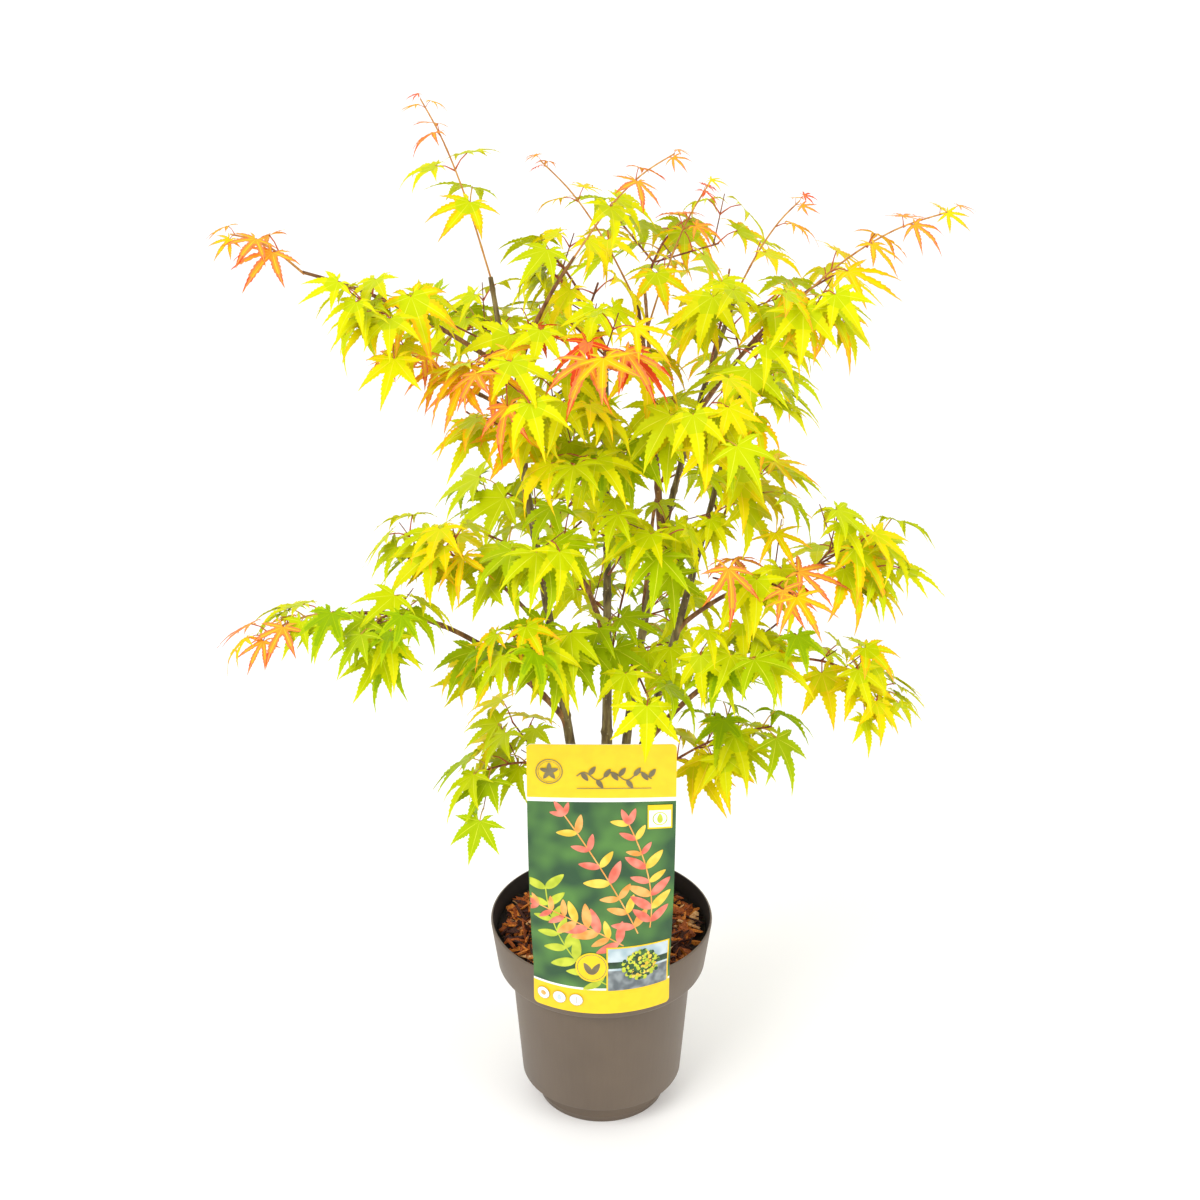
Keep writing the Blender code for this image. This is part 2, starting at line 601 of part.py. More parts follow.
def twig_shape(path):
    """A slim three-sided tapering twig, which a round bevel can't make, closed at both ends."""
    shape = bmesh.new()
    run = (path.points[-1] - path.points[0]).normalized()
    guide = UP if abs(run.z) < STEEP else Vector((1, 0, 0))
    turns = [math.tau * k / 3 for k in range(3)]
    rings = []
    for i, (point, radius) in enumerate(zip(path.points, path.radii)):
        before = path.points[max(i - 1, 0)]
        after = path.points[min(i + 1, len(path.points) - 1)]
        along = (after - before).normalized()
        across = along.cross(guide).normalized()
        above = across.cross(along)
        corners = [across * math.sin(turn) + above * math.cos(turn) for turn in turns]
        rings.append([shape.verts.new(point + radius * corner) for corner in corners])
    for ring, following in zip(rings, rings[1:]):
        for k in range(3):
            shape.faces.new((ring[k], ring[(k + 1) % 3], following[(k + 1) % 3], following[k]))
    shape.faces.new(rings[0])
    shape.faces.new(rings[-1])
    bmesh.ops.recalc_face_normals(shape, faces=shape.faces)
    return shape


def stalk_corners(along, across):
    """Where the three edges of a stalk lie about its middle: one below it and one above each side."""
    beside = (across - along * across.dot(along)).normalized()
    above = along.cross(beside)
    turns = [math.radians(angle) for angle in (-60, 60, 180)]
    return [STALK_RADIUS * (above * math.cos(turn) + beside * math.sin(turn)) for turn in turns]


def leaf_shape(leaf, bare=0.0):
    """A lobed blade, thickest at its heart and sharp at its rim, drawn out into a three-sided stalk.

    The first share of the stalk can be left bare, for a leaf that is only tried."""
    shape = bmesh.new()
    joint = leaf.frame.translation
    root = leaf.root.lerp(joint, bare)
    axis, across, normal = (leaf.frame.to_3x3().col[i] for i in range(3))
    stalk = (joint - leaf.root).normalized()
    mitre = (stalk + axis).normalized()
    sag = STALK_SAG * STALK_RADIUS * normal
    root_ring = [shape.verts.new(root + corner) for corner in stalk_corners(stalk, across)]
    joint_ring = [shape.verts.new(joint + corner - sag) for corner in stalk_corners(mitre, across)]
    rim = [joint_ring[0]]
    for number, (angle, share) in enumerate(LOBES):
        rim.append(shape.verts.new(blade_point(leaf, angle, share)))
        if number < len(NOTCHES):
            between = (angle + LOBES[number + 1][0]) / 2
            rim.append(shape.verts.new(blade_point(leaf, between, NOTCHES[number])))
    rim.append(joint_ring[1])
    heart = shape.verts.new(joint + axis * BLADE_HEART * leaf.size + normal * HEART_RISE)
    for first, second in zip(rim, rim[1:]):
        shape.faces.new((heart, first, second))
        shape.faces.new((joint_ring[2], second, first))
    shape.faces.new((heart, joint_ring[1], joint_ring[0]))
    for k in range(3):
        following = (k + 1) % 3
        shape.faces.new((root_ring[k], root_ring[following], joint_ring[following], joint_ring[k]))
    shape.faces.new(root_ring[::-1])
    bmesh.ops.recalc_face_normals(shape, faces=shape.faces)
    return shape


def keep_largest_shell(mesh):
    """Drops loose scraps, and the skins of sealed hollows, which are filled by that."""
    shape = bmesh.new()
    shape.from_mesh(mesh)
    unseen = set(shape.verts)
    shells = []
    while unseen:
        front = [unseen.pop()]
        shell = set(front)
        while front:
            for edge in front.pop().link_edges:
                found = set(edge.verts) & unseen
                unseen -= found
                shell |= found
                front.extend(found)
        shells.append(shell)
    largest = max(shells, key=len)
    scraps = [vert for vert in shape.verts if vert not in largest]
    bmesh.ops.delete(shape, geom=scraps, context="VERTS")
    shape.to_mesh(mesh)
    shape.free()


def add_mass(mass, stem, shoots, leaves, collection, material):
    """One solid for the mass: a union of its stem with the collection of its shoots and leaves."""
    pieces = bpy.data.collections.new("fused_pieces")
    bpy.context.scene.collection.children.link(pieces)
    for shoot in shoots:
        add_object("shoot", mesh_from("shoot", twig_shape(shoot)), pieces)
    for leaf in leaves:
        add_object("leaf", mesh_from("leaf", leaf_shape(leaf)), pieces)
    base = add_object(mass.name, mesh_from("stem", twig_shape(stem)), collection)
    join = base.modifiers.new("fuse", "BOOLEAN")
    join.operation = "UNION"
    join.operand_type = "COLLECTION"
    join.collection = pieces
    join.solver = "MANIFOLD"
    graph = bpy.context.evaluated_depsgraph_get()
    fused = bpy.data.meshes.new_from_object(base.evaluated_get(graph))
    base.modifiers.clear()
    base.data = fused
    fused.name = mass.name
    fused.materials.clear()
    fused.materials.append(material)
    keep_largest_shell(fused)
    fused.transform(Matrix.Translation(-stem.points[0]))
    base.location = stem.points[0]
    for piece in list(pieces.objects):
        bpy.data.objects.remove(piece)
    bpy.data.collections.remove(pieces)
    return base


def clear_scene():
    for item in list(bpy.data.objects):
        bpy.data.objects.remove(item)


def build():
    clear_scene()
    scene = bpy.context.scene
    plant = bpy.data.collections.new("potted_japanese_maple")
    cutters = bpy.data.collections.new("cutters")
    for collection in (plant, cutters):
        scene.collection.children.link(collection)
    add_pot(plant, cutters)
    add_mulch(plant)
    add_card(plant, cutters)

    paths = limb_paths()
    bark = make_material("bark")
    add_limb("trunk", paths["trunk"], 10, plant, bark)
    for limb in LIMBS:
        add_limb(limb.name, paths[limb.name], limb.sides, plant, bark)

    stems = {mass.name: mass_stem(mass, paths) for mass in MASSES}
    tints = {tint: make_material(tint + "_leaf") for tint in ("lime", "yellow", "gold", "coral")}
    grown = [piece for path in paths.values() for piece in path_pieces(path)]
    for mass in MASSES:
        room = Room(mass, stems, list(paths.values()), grown)
        shoots, leaves = grow(mass, stems[mass.name], room)
        add_mass(mass, stems[mass.name], shoots, leaves, plant, tints[mass.tint])

    root = add_object("plant_root", None, plant)
    for item in plant.objects:
        if item is not root:
            item.parent = root


build()
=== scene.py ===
import json
import math
import random
from collections import namedtuple

import bmesh
import bpy
from mathutils import Matrix, Vector, noise
from mathutils.bvhtree import BVHTree

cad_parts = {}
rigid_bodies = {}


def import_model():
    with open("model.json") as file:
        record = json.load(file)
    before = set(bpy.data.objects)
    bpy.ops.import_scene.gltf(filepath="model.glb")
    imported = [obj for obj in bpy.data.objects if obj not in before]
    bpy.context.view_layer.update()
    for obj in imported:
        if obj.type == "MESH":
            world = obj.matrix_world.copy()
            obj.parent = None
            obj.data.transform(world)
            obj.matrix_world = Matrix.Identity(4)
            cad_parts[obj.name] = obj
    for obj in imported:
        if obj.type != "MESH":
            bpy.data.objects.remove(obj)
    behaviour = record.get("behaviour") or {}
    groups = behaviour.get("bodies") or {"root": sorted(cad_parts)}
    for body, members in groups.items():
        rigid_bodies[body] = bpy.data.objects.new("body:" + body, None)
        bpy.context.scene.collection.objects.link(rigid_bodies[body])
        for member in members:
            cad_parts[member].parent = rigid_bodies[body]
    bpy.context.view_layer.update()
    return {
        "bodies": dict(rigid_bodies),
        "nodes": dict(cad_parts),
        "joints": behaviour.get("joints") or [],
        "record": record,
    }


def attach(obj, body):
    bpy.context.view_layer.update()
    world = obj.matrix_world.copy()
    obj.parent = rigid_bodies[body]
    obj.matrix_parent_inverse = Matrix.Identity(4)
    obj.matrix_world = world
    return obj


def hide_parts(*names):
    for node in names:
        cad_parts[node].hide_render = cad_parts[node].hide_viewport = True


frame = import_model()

# Nursery pot.
# A round container with a deep stacking collar, injection moulded in one shot of taupe polypropylene.
# The mould leaves a fine matt grain, faint flow lines down the wall and a witness line round the foot.

POT_HEIGHT = 0.180
RIM_RADIUS = 0.095
RIM_ROUND = 0.0015
EDGE_ROUND = 0.0006
EDGE_SLOPE = 0.0001
COLLAR_DROP = 0.045
COLLAR_FOOT_RADIUS = 0.0890
COLLAR_STEP = 0.0010
BODY_TOP_RADIUS = 0.0780
BODY_FOOT_RADIUS = 0.0695
FOOT_STEP = 0.0030
FOOT_HEIGHT = 0.022
FOOT_TOP_RADIUS = 0.0590
FOOT_RADIUS = 0.0550
FOOT_DRAFT = 0.0011
WITNESS_HEIGHT = 0.0060
WITNESS_RISE = 0.00025
POT_WALL = 0.0022
POT_FLOOR = 0.0030
POT_SIDES = 144
DRAIN_HOLES = 4
DRAIN_RADIUS = 0.0050
DRAIN_CIRCLE = 0.0400
DRAIN_SIDES = 32
SHARPEST_SMOOTH = math.radians(38)
LOOKS_INWARD = -0.5


def linear(channel):
    if channel <= 0.04045:
        return channel / 12.92
    return ((channel + 0.055) / 1.055) ** 2.4


def colour(hex_value):
    """An sRGB hex colour as linear red, green, blue and full alpha."""
    return (*(linear(int(hex_value[i : i + 2], 16) / 255) for i in (1, 3, 5)), 1.0)


def set_inputs(tree, node, inputs):
    """Inputs by name, each from a value, a socket, or a node that gives its first socket."""
    for name, value in inputs.items():
        if isinstance(value, bpy.types.Node):
            value = value.outputs[0]
        if isinstance(value, bpy.types.NodeSocket):
            tree.links.new(value, node.inputs[name])
        else:
            node.inputs[name].default_value = value


def add_node(tree, kind, inputs=None, stops=(), **settings):
    """One node with its settings and inputs, and the places and colours of a ramp's stops."""
    node = tree.nodes.new(kind)
    for name, value in settings.items():
        setattr(node, name, value)
    set_inputs(tree, node, inputs or {})
    if stops:
        for end, (place, value) in zip(node.color_ramp.elements, (stops[0], stops[-1])):
            end.position, end.color = place, colour(value)
    for place, value in stops[1:-1]:
        node.color_ramp.elements.new(place).color = colour(value)
    return node


def new_material(name, base, roughness, **sockets):
    """A plain principled finish, and the tree and shader that a pattern can be linked to."""
    material = bpy.data.materials.new(name)
    material.use_nodes = True
    shader = material.node_tree.nodes["Principled BSDF"]
    named = {socket.replace("_", " "): value for socket, value in sockets.items()}
    set_inputs(material.node_tree, shader, {"Base Color": colour(base), "Roughness": roughness, **named})
    return material, material.node_tree, shader


def per_metre(millimetres):
    """A texture's scale for a feature of this many millimetres."""
    return 1000 / millimetres


def moulded_polypropylene():
    """PP with 2% grey-brown pigment, spark-eroded mould: low gloss, IOR 1.49, slightly cloudy tone."""
    material, tree, shader = new_material("moulded_polypropylene", "#605142", 0.48, IOR=1.49)
    place = add_node(tree, "ShaderNodeTexCoord").outputs["Object"]
    tall = add_node(tree, "ShaderNodeMapping", {"Vector": place, "Scale": (1.0, 1.0, 0.06)})
    cloud, flow, speck = (
        add_node(tree, "ShaderNodeTexNoise", {"Vector": vector, "Scale": per_metre(size), "Detail": detail})
        for vector, size, detail in ((place, 70, 3.0), (tall, 3, 2.0), (place, 1.6, 2.0))
    )
    blend = add_node(tree, "ShaderNodeMix", {"Factor": 0.18, "A": cloud, "B": flow})
    tone = add_node(tree, "ShaderNodeValToRGB", {"Fac": blend}, ((0.30, "#5B4D3F"), (0.70, "#675848")))
    rough = add_node(tree, "ShaderNodeMapRange", {"Value": cloud, "To Min": 0.40, "To Max": 0.54})
    grain = add_node(tree, "ShaderNodeBump", {"Height": speck, "Strength": 0.25, "Distance": 0.0002})
    ripple = add_node(
        tree, "ShaderNodeBump", {"Height": flow, "Strength": 0.10, "Distance": 0.0002, "Normal": grain}
    )
    set_inputs(tree, shader, {"Base Color": tone, "Roughness": rough, "Normal": ripple})
    return material


def wall_steps(inset):
    """Corners of the pot's wall from rim to foot, moved in from the outer face by the inset."""
    collar_foot = POT_HEIGHT - COLLAR_DROP + inset
    foot_top = FOOT_HEIGHT + inset
    return [
        (RIM_RADIUS - inset, POT_HEIGHT - RIM_ROUND),
        (COLLAR_FOOT_RADIUS + RIM_ROUND / 3 - inset, collar_foot + COLLAR_STEP * 3),
        (COLLAR_FOOT_RADIUS - RIM_ROUND / 3 - inset, collar_foot + COLLAR_STEP),
        (COLLAR_FOOT_RADIUS - RIM_ROUND - inset, collar_foot + COLLAR_STEP / 3),
        (BODY_TOP_RADIUS - inset, collar_foot),
        (BODY_FOOT_RADIUS - inset, foot_top + FOOT_STEP),
        (BODY_FOOT_RADIUS - RIM_ROUND / 2 - inset, foot_top + FOOT_STEP / 2),
        (FOOT_TOP_RADIUS + RIM_ROUND / 2 - inset, foot_top + COLLAR_STEP / 3),
        (FOOT_TOP_RADIUS - inset, foot_top - RIM_ROUND / 2),
    ]


def circle(radius, count):
    """Points evenly round a circle."""
    turns = [math.tau * k / count for k in range(count)]
    return [(radius * math.cos(turn), radius * math.sin(turn)) for turn in turns]


def mesh_from(name, shape):
    """A mesh of its own from a bmesh, which is then freed."""
    mesh = bpy.data.meshes.new(name)
    shape.to_mesh(mesh)
    shape.free()
    return mesh


def turned_mesh(name, profile, sides):
    """A closed solid of revolution from a profile that starts and ends on the axis."""
    shape = bmesh.new()
    rings = []
    for radius, height in profile:
        if radius == 0:
            rings.append([shape.verts.new((0, 0, height))] * sides)
        else:
            rings.append([shape.verts.new((x, y, height)) for x, y in circle(radius, sides)])
    for upper, lower in zip(rings, rings[1:]):
        for k in range(sides):
            corners = (upper[k], lower[k], lower[(k + 1) % sides], upper[(k + 1) % sides])
            shape.faces.new(dict.fromkeys(corners))
    bmesh.ops.recalc_face_normals(shape, faces=shape.faces)
    return mesh_from(name, shape)


def put_in_scene(name, data):
    item = bpy.data.objects.new(name, data)
    bpy.context.scene.collection.objects.link(item)
    return item


def finished(item, *tools):
    """The mesh of an object after its modifiers. The object and its tools are then removed."""
    mesh = bpy.data.meshes.new_from_object(item.evaluated_get(bpy.context.evaluated_depsgraph_get()))
    for used in (item, *tools):
        bpy.data.objects.remove(used)
    return mesh


def add_piece(name, mesh, materials, slot, *nodes):
    """A finished piece of the plant: it rides on the one body and stands for its nodes."""
    piece = put_in_scene(name, mesh)
    for material in materials:
        mesh.materials.append(material)
    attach(piece, "root")
    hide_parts(*nodes)


def pot_mesh():
    lip = [
        (RIM_RADIUS - POT_WALL + EDGE_SLOPE, POT_HEIGHT - EDGE_ROUND),
        (RIM_RADIUS - POT_WALL + EDGE_ROUND, POT_HEIGHT),
        (RIM_RADIUS - 2 * EDGE_SLOPE - EDGE_ROUND, POT_HEIGHT),
        (RIM_RADIUS - 2 * EDGE_SLOPE, POT_HEIGHT - EDGE_ROUND),
    ]
    foot = [
        (FOOT_RADIUS + FOOT_DRAFT + EDGE_SLOPE, WITNESS_HEIGHT + EDGE_ROUND),
        (FOOT_RADIUS + FOOT_DRAFT + WITNESS_RISE, WITNESS_HEIGHT),
        (FOOT_RADIUS + FOOT_DRAFT - EDGE_SLOPE, WITNESS_HEIGHT - EDGE_ROUND),
        (FOOT_RADIUS, EDGE_ROUND),
        (FOOT_RADIUS - EDGE_ROUND, 0),
        (0, 0),
    ]
    inside = [(0, POT_FLOOR), (FOOT_RADIUS - POT_WALL, POT_FLOOR)] + wall_steps(POT_WALL)[::-1]
    profile = inside + lip + wall_steps(0) + foot
    body = put_in_scene("pot_blank", turned_mesh("nursery_pot", profile, POT_SIDES))
    drills = bmesh.new()
    for number in range(DRAIN_HOLES):
        angle = math.tau * (number + 0.5) / DRAIN_HOLES
        place = Vector((DRAIN_CIRCLE * math.cos(angle), DRAIN_CIRCLE * math.sin(angle), 0))
        bmesh.ops.create_cone(
            drills,
            cap_ends=True,
            segments=DRAIN_SIDES,
            radius1=DRAIN_RADIUS,
            radius2=DRAIN_RADIUS,
            depth=4 * POT_FLOOR,
            matrix=Matrix.Translation(place),
        )
    punch = put_in_scene("drain_punch", mesh_from("drain_punch", drills))
    cut = body.modifiers.new("drains", "BOOLEAN")
    cut.operation = "DIFFERENCE"
    cut.object = punch
    mesh = finished(body, punch)
    mesh.shade_smooth()
    mesh.set_sharp_from_angle(angle=SHARPEST_SMOOTH)
    mesh.materials.clear()
    # Wall faces that look inward, outside the ring of drain holes, take the second finish, which is painted
    # shade.
    for face in mesh.polygons:
        inward = face.normal.xy.dot(face.center.xy.normalized()) < LOOKS_INWARD
        if inward and face.center.xy.length > DRAIN_CIRCLE + DRAIN_RADIUS:
            face.material_index = 1
    return mesh


# The wall inside is painted near black: a painted shade for the shadow that falls inside the pot under its
# rim.
inner_wall_shade = new_material("compost_film", "#1C140E", 0.72, IOR=1.45)[0]
add_piece("nursery_pot", pot_mesh(), [moulded_polypropylene(), inner_wall_shade], "pot_plastic", "pot")

# Compost and bark mulch.
# Moist dark potting compost fills the pot. A loose layer of shredded pine bark covers it, in rust-brown
# chips with torn ends that lie at all angles, with a few pale splinters of sapwood among them.

GAP = 0.0003
MULCH_TOP = 0.1675
COMPOST_DROP = 0.0040
COMPOST_ROUGH = 0.0016
COMPOST_CRUMB = 5
COMPOST_RINGS = 18
COMPOST_SIDES = 96
CHIP_COUNT = 1100
CHIP_LENGTH = (0.007, 0.030)
CHIP_WIDTH = (0.0030, 0.0100)
CHIP_THICKNESS = (0.0010, 0.0030)
CHIP_HEIGHT = (-0.0040, 0.0020)
CHIP_TILT = 0.30
CHIP_SIDES = 5
CHIP_TWIST = 0.4
CHIP_BEND = 0.12
CHIP_SKEW = 0.14
TORN_WIDTH = (0.75, 1.2)
TORN_THICKNESS = (0.7, 1.2)
BARE_RADIUS = 0.0185
CHIP_TO_WALL = 0.003
# Where along a chip each ring of its corners lies, and how full it is there.
CHIP_RINGS = ((-0.5, 0.45), (-0.05, 1.0), (0.5, 0.30))
# Each tint of bark by its dark and light colour and its share of the chips.
BARK_TINTS = {
    "bark_rust": ("#5E2809", "#B25A16", 0.32),
    "bark_orange": ("#98480F", "#E28A2E", 0.28),
    "bark_dark": ("#1A0904", "#4E200C", 0.35),
    "bark_sapwood": ("#B87A42", "#E6B882", 0.05),
}

Skin = namedtuple("Skin", "points faces tints")


def shredded_bark(name, dark, light):
    """Dry pine bark, torn by a shredder: rough and matt, with fibres a millimetre or so apart."""
    material, tree, shader = new_material(name, light, 0.82, IOR=1.45)
    place = add_node(tree, "ShaderNodeTexCoord").outputs["Object"]
    weave = {"Vector": place, "Scale": per_metre(2.2), "Detail": 5.0, "Distortion": 1.5}
    fibre = add_node(tree, "ShaderNodeTexNoise", weave)
    tone = add_node(tree, "ShaderNodeValToRGB", {"Fac": fibre}, ((0.34, dark), (0.62, light)))
    relief = add_node(tree, "ShaderNodeBump", {"Height": fibre, "Strength": 0.8, "Distance": 0.0008})
    set_inputs(tree, shader, {"Base Color": tone, "Normal": relief})
    return material


def compost_mesh():
    """The fill of the pot: the same body as the solid, with its top lowered and made crumbly."""
    wall = wall_steps(POT_WALL + GAP)
    top = MULCH_TOP - COMPOST_DROP
    (rim_radius, rim_height), (collar_radius, collar_height) = wall[:2]
    widening = (rim_radius - collar_radius) * (top - collar_height) / (rim_height - collar_height)
    top_radius = collar_radius + widening
    profile = [(0, top)] + [(top_radius * i / COMPOST_RINGS, top) for i in range(1, COMPOST_RINGS + 1)]
    profile += wall[1:] + [(FOOT_RADIUS - POT_WALL - GAP, POT_FLOOR + GAP), (0, POT_FLOOR + GAP)]
    mesh = turned_mesh("compost", profile, COMPOST_SIDES)
    for vert in mesh.vertices:
        if abs(vert.co.z - top) < GAP and vert.co.xy.length < top_radius - GAP:
            vert.co.z += COMPOST_ROUGH * noise.noise(vert.co * per_metre(COMPOST_CRUMB))
    mesh.shade_smooth()
    return mesh


def band_faces(start, rings, sides):
    """The faces between rings of corners that are numbered on from the start."""
    for ring in range(rings - 1):
        for k in range(sides):
            a, b = start + ring * sides + k, start + ring * sides + (k + 1) % sides
            yield a, b, b + sides, a + sides


def paint(skin, tint):
    """Gives one tint to the faces that have none yet."""
    skin.tints.extend([tint] * (len(skin.faces) - len(skin.tints)))


def mesh_of(name, skin, smooth=True):
    mesh = bpy.data.meshes.new(name)
    mesh.from_pydata(skin.points, [], skin.faces)
    mesh.polygons.foreach_set("material_index", skin.tints)
    if smooth:
        mesh.shade_smooth()
    return mesh


def add_chip(rng, skin):
    """Adds one chip: rings of a few corners, with torn, skewed ends."""
    length, width, thickness = (
        rng.uniform(*size) for size in (CHIP_LENGTH, CHIP_WIDTH, CHIP_THICKNESS)
    )
    spread = math.sqrt(rng.random())
    turn = rng.uniform(0, math.tau)
    widest = RIM_RADIUS - POT_WALL - BARE_RADIUS - length / 2 - CHIP_TO_WALL
    reach = BARE_RADIUS + widest * spread
    height = MULCH_TOP + rng.uniform(*CHIP_HEIGHT)
    place = Matrix.Translation((reach * math.cos(turn), reach * math.sin(turn), height))
    place @= Matrix.Rotation(rng.uniform(0, math.tau), 4, "Z")
    tilt = Matrix.Rotation(rng.gauss(0, CHIP_TILT), 4, "Y")
    place @= tilt @ Matrix.Rotation(rng.gauss(0, 2 * CHIP_TILT), 4, "X")
    bend = rng.uniform(-CHIP_BEND, CHIP_BEND) * length
    start = len(skin.points)
    for along, fullness in CHIP_RINGS:
        for k in range(CHIP_SIDES):
            angle = math.tau * k / CHIP_SIDES + CHIP_TWIST
            x = length * (along + rng.uniform(-CHIP_SKEW, CHIP_SKEW))
            y = width / 2 * math.cos(angle) * fullness * rng.uniform(*TORN_WIDTH) + bend * along * along * 4
            z = thickness / 2 * math.sin(angle) * rng.uniform(*TORN_THICKNESS)
            skin.points.append(place @ Vector((x, y, z)))
    skin.faces.extend(band_faces(start, len(CHIP_RINGS), CHIP_SIDES))
    last = len(skin.points)
    skin.faces.append(tuple(range(start + CHIP_SIDES - 1, start - 1, -1)))
    skin.faces.append(tuple(range(last - CHIP_SIDES, last)))


def chips_mesh():
    rng = random.Random("bark chips")
    chips = Skin([], [], [])
    shares = [share for dark, light, share in BARK_TINTS.values()]
    for _ in range(CHIP_COUNT):
        add_chip(rng, chips)
        paint(chips, rng.choices(range(len(shares)), shares)[0])
    return mesh_of("bark_chips", chips, smooth=False)


compost = new_material("moist_compost", "#1E120B", 0.95)[0]
add_piece("compost", compost_mesh(), [compost], "bark_mulch", "bark_mulch")
chip_tints = [shredded_bark(name, dark, light) for name, (dark, light, share) in BARK_TINTS.items()]
add_piece("bark_chips", chips_mesh(), chip_tints, "bark_mulch", "bark_mulch")

# Trunk, stems and boughs.
# Young maple wood, grown on its own roots. The trunk and old stems have thin olive-brown bark with fine
# furrows and pale pores; boughs are smoother and redder, with a ringed swelling at each pair of old buds.

UP = Vector((0, 0, 1))
TRUNK_FORK = Vector((0.004, 0.001, 0.300))
TRUNK_FLARE = (
    (0.00, 0.0170),
    (0.04, 0.0140),
    (0.10, 0.0118),
    (0.22, 0.0105),
    (0.45, 0.0098),
    (0.72, 0.0092),
    (1.00, 0.0084),
)
# Carrier, the share of its length where the limb starts, tip, how far the middle bows, and both radii.
Limb = namedtuple("Limb", "name carrier at tip bow thick")
LIMBS = [Limb(*row) for row in (
    ("stem_centre", "trunk", 1, (0.003, 0, 0.7), (0.001, 0.003, 0), (0.0045, 0.0018)),
    ("stem_left", "trunk", 0.8, (-0.083, -0.02, 0.765), (0, -0.001, 0), (0.0046, 0.0018)),
    ("stem_back", "trunk", 0.7, (0.105, 0.05, 0.727), (-0.019, 0, 0), (0.0044, 0.0017)),
    ("stem_right", "trunk", 0.88, (0.106, -0.04, 0.686), (0.002, -0.003, 0), (0.0044, 0.0016)),
    ("stem_fork", "stem_back", 0.62, (0.028, 0.052, 0.716), (0.002, 0.001, 0), (0.003, 0.0016)),
    ("stem_high", "stem_left", 0.82, (-0.02, -0.045, 0.79), (-0.007, -0.002, 0), (0.0021, 0.0012)),
    ("bough_high_left", "stem_left", 0.86, (-0.216, -0.078, 0.79), (0, 0, 0.009), (0.002, 0.0012)),
    ("bough_mid_left", "stem_left", 0.79, (-0.118, -0.045, 0.694), (0, 0, 0.001), (0.0018, 0.0012)),
    ("bough_inner_left", "stem_left", 0.4, (-0.086, -0.062, 0.537), (0, 0, 0.003), (0.0019, 0.0012)),
    ("bough_low_left", "stem_left", 0.26, (-0.19, -0.1, 0.524), (0, 0, 0.028), (0.0027, 0.0013)),
    ("bough_high_right", "stem_back", 0.82, (0.135, 0.005, 0.722), (0, 0, 0.005), (0.002, 0.0012)),
    ("bough_mid_right", "stem_right", 0.5, (0.145, -0.06, 0.537), (0, 0, 0.008), (0.002, 0.0012)),
    ("bough_low_right", "stem_right", 0.24, (0.15, -0.062, 0.465), (0, 0, 0.02), (0.0025, 0.0013)),
    ("bough_back_left", "stem_centre", 0.36, (-0.035, 0.1, 0.492), (0, 0, 0.012), (0.0024, 0.0013)),
    ("bough_back_right", "stem_back", 0.42, (0.045, 0.125, 0.512), (0, 0, 0.008), (0.0023, 0.0013)),
    ("bough_back_high", "stem_fork", 0.4, (0.035, 0.135, 0.7), (0, 0, 0.006), (0.0019, 0.0012)),
    ("bough_back_far", "stem_left", 0.66, (-0.065, 0.085, 0.655), (0, 0, 0.008), (0.0019, 0.0012)),
)]
LIMB_RINGS = 6
TRUNK_SIDES = 40
LIMB_SIDES = 18
RING_STEP = 0.0030
BUD_SPACING = 0.042
BUD_SWELL = 0.22
BUD_LENGTH = 0.0022
DOME = 0.5
COLLAR_SWELL = 0.45
COLLAR_LENGTH = 0.006
UPRIGHT_SHARE = 0.1
ROOT_DEPTH = 0.007
ROOT_RADIUS = 0.0180
ROOT_LOBES = 4
ROOT_SPREAD = 0.144
ROOT_LENGTH = 0.016
ROOT_WANDER = (1.1, 2.2, 30)
OLD_WOOD = 0.004
# A fork is drawn back into its carrier by this share of both radii, and a limb on its carrier's end tapers
# from it over this share of its first step.
FORK_DEPTH = 2.8
NECK = 0.28
NECK_SWELL = 1.18
NECK_RADII = (0.5, 0.97)
WRINKLE = 0.045
WRINKLE_SIZE = 2.6
WRINKLE_STRETCH = 0.35
TRUNK_BUDS = 0.3
TRUNK_WAIST = 0.97
# Furrows of the trunk: their depth, how closely they stand round it, and their length in millimetres.
FURROWS = ((0.060, 2.4, 26), (0.027, 6, 7))

Path = namedtuple("Path", "points radii")


def bowed(start, tip, bow, count):
    """Points on one smooth bow whose middle lies off the straight line by the bow."""
    pull = (start + tip) / 2 + 2 * bow
    shares = [i / (count - 1) for i in range(count)]
    return [start * (1 - t) ** 2 + pull * (2 * t * (1 - t)) + tip * t**2 for t in shares]


def tapered(points, radii):
    last = len(points) - 1
    return Path(points, [radii[0] + (radii[1] - radii[0]) * i / last for i in range(last + 1)])


def path_at(path, share):
    """Point, direction and radius at this share of a path."""
    reach = share * (len(path.points) - 1)
    step = min(int(reach), len(path.points) - 2)
    part = reach - step
    first, second = path.points[step], path.points[step + 1]
    radius = path.radii[step] + (path.radii[step + 1] - path.radii[step]) * part
    return first.lerp(second, part), (second - first).normalized(), radius


def start_on(carrier, share, tip, radius):
    """Where a limb of this radius starts so that its cut end lies one gap clear of its carrier."""
    point, along, thickness = path_at(carrier, share)
    toward = (tip - point).normalized()
    angle = along.angle(toward)
    if share == 1:
        return point + along * (GAP + radius * math.sin(angle))
    side = (toward - along * toward.dot(along)).normalized()
    return point + side * (thickness + GAP + radius * math.cos(angle))


def trunk_path():
    foot, head = Vector((0, 0, MULCH_TOP + GAP)), Vector((0, 0, TRUNK_FORK.z))
    points = []
    for share, _ in TRUNK_FLARE:
        lean = (TRUNK_FORK - head) * share**2 if share > UPRIGHT_SHARE else Vector()
        points.append(foot.lerp(head, share) + lean)
    return Path(points, [radius for _, radius in TRUNK_FLARE])


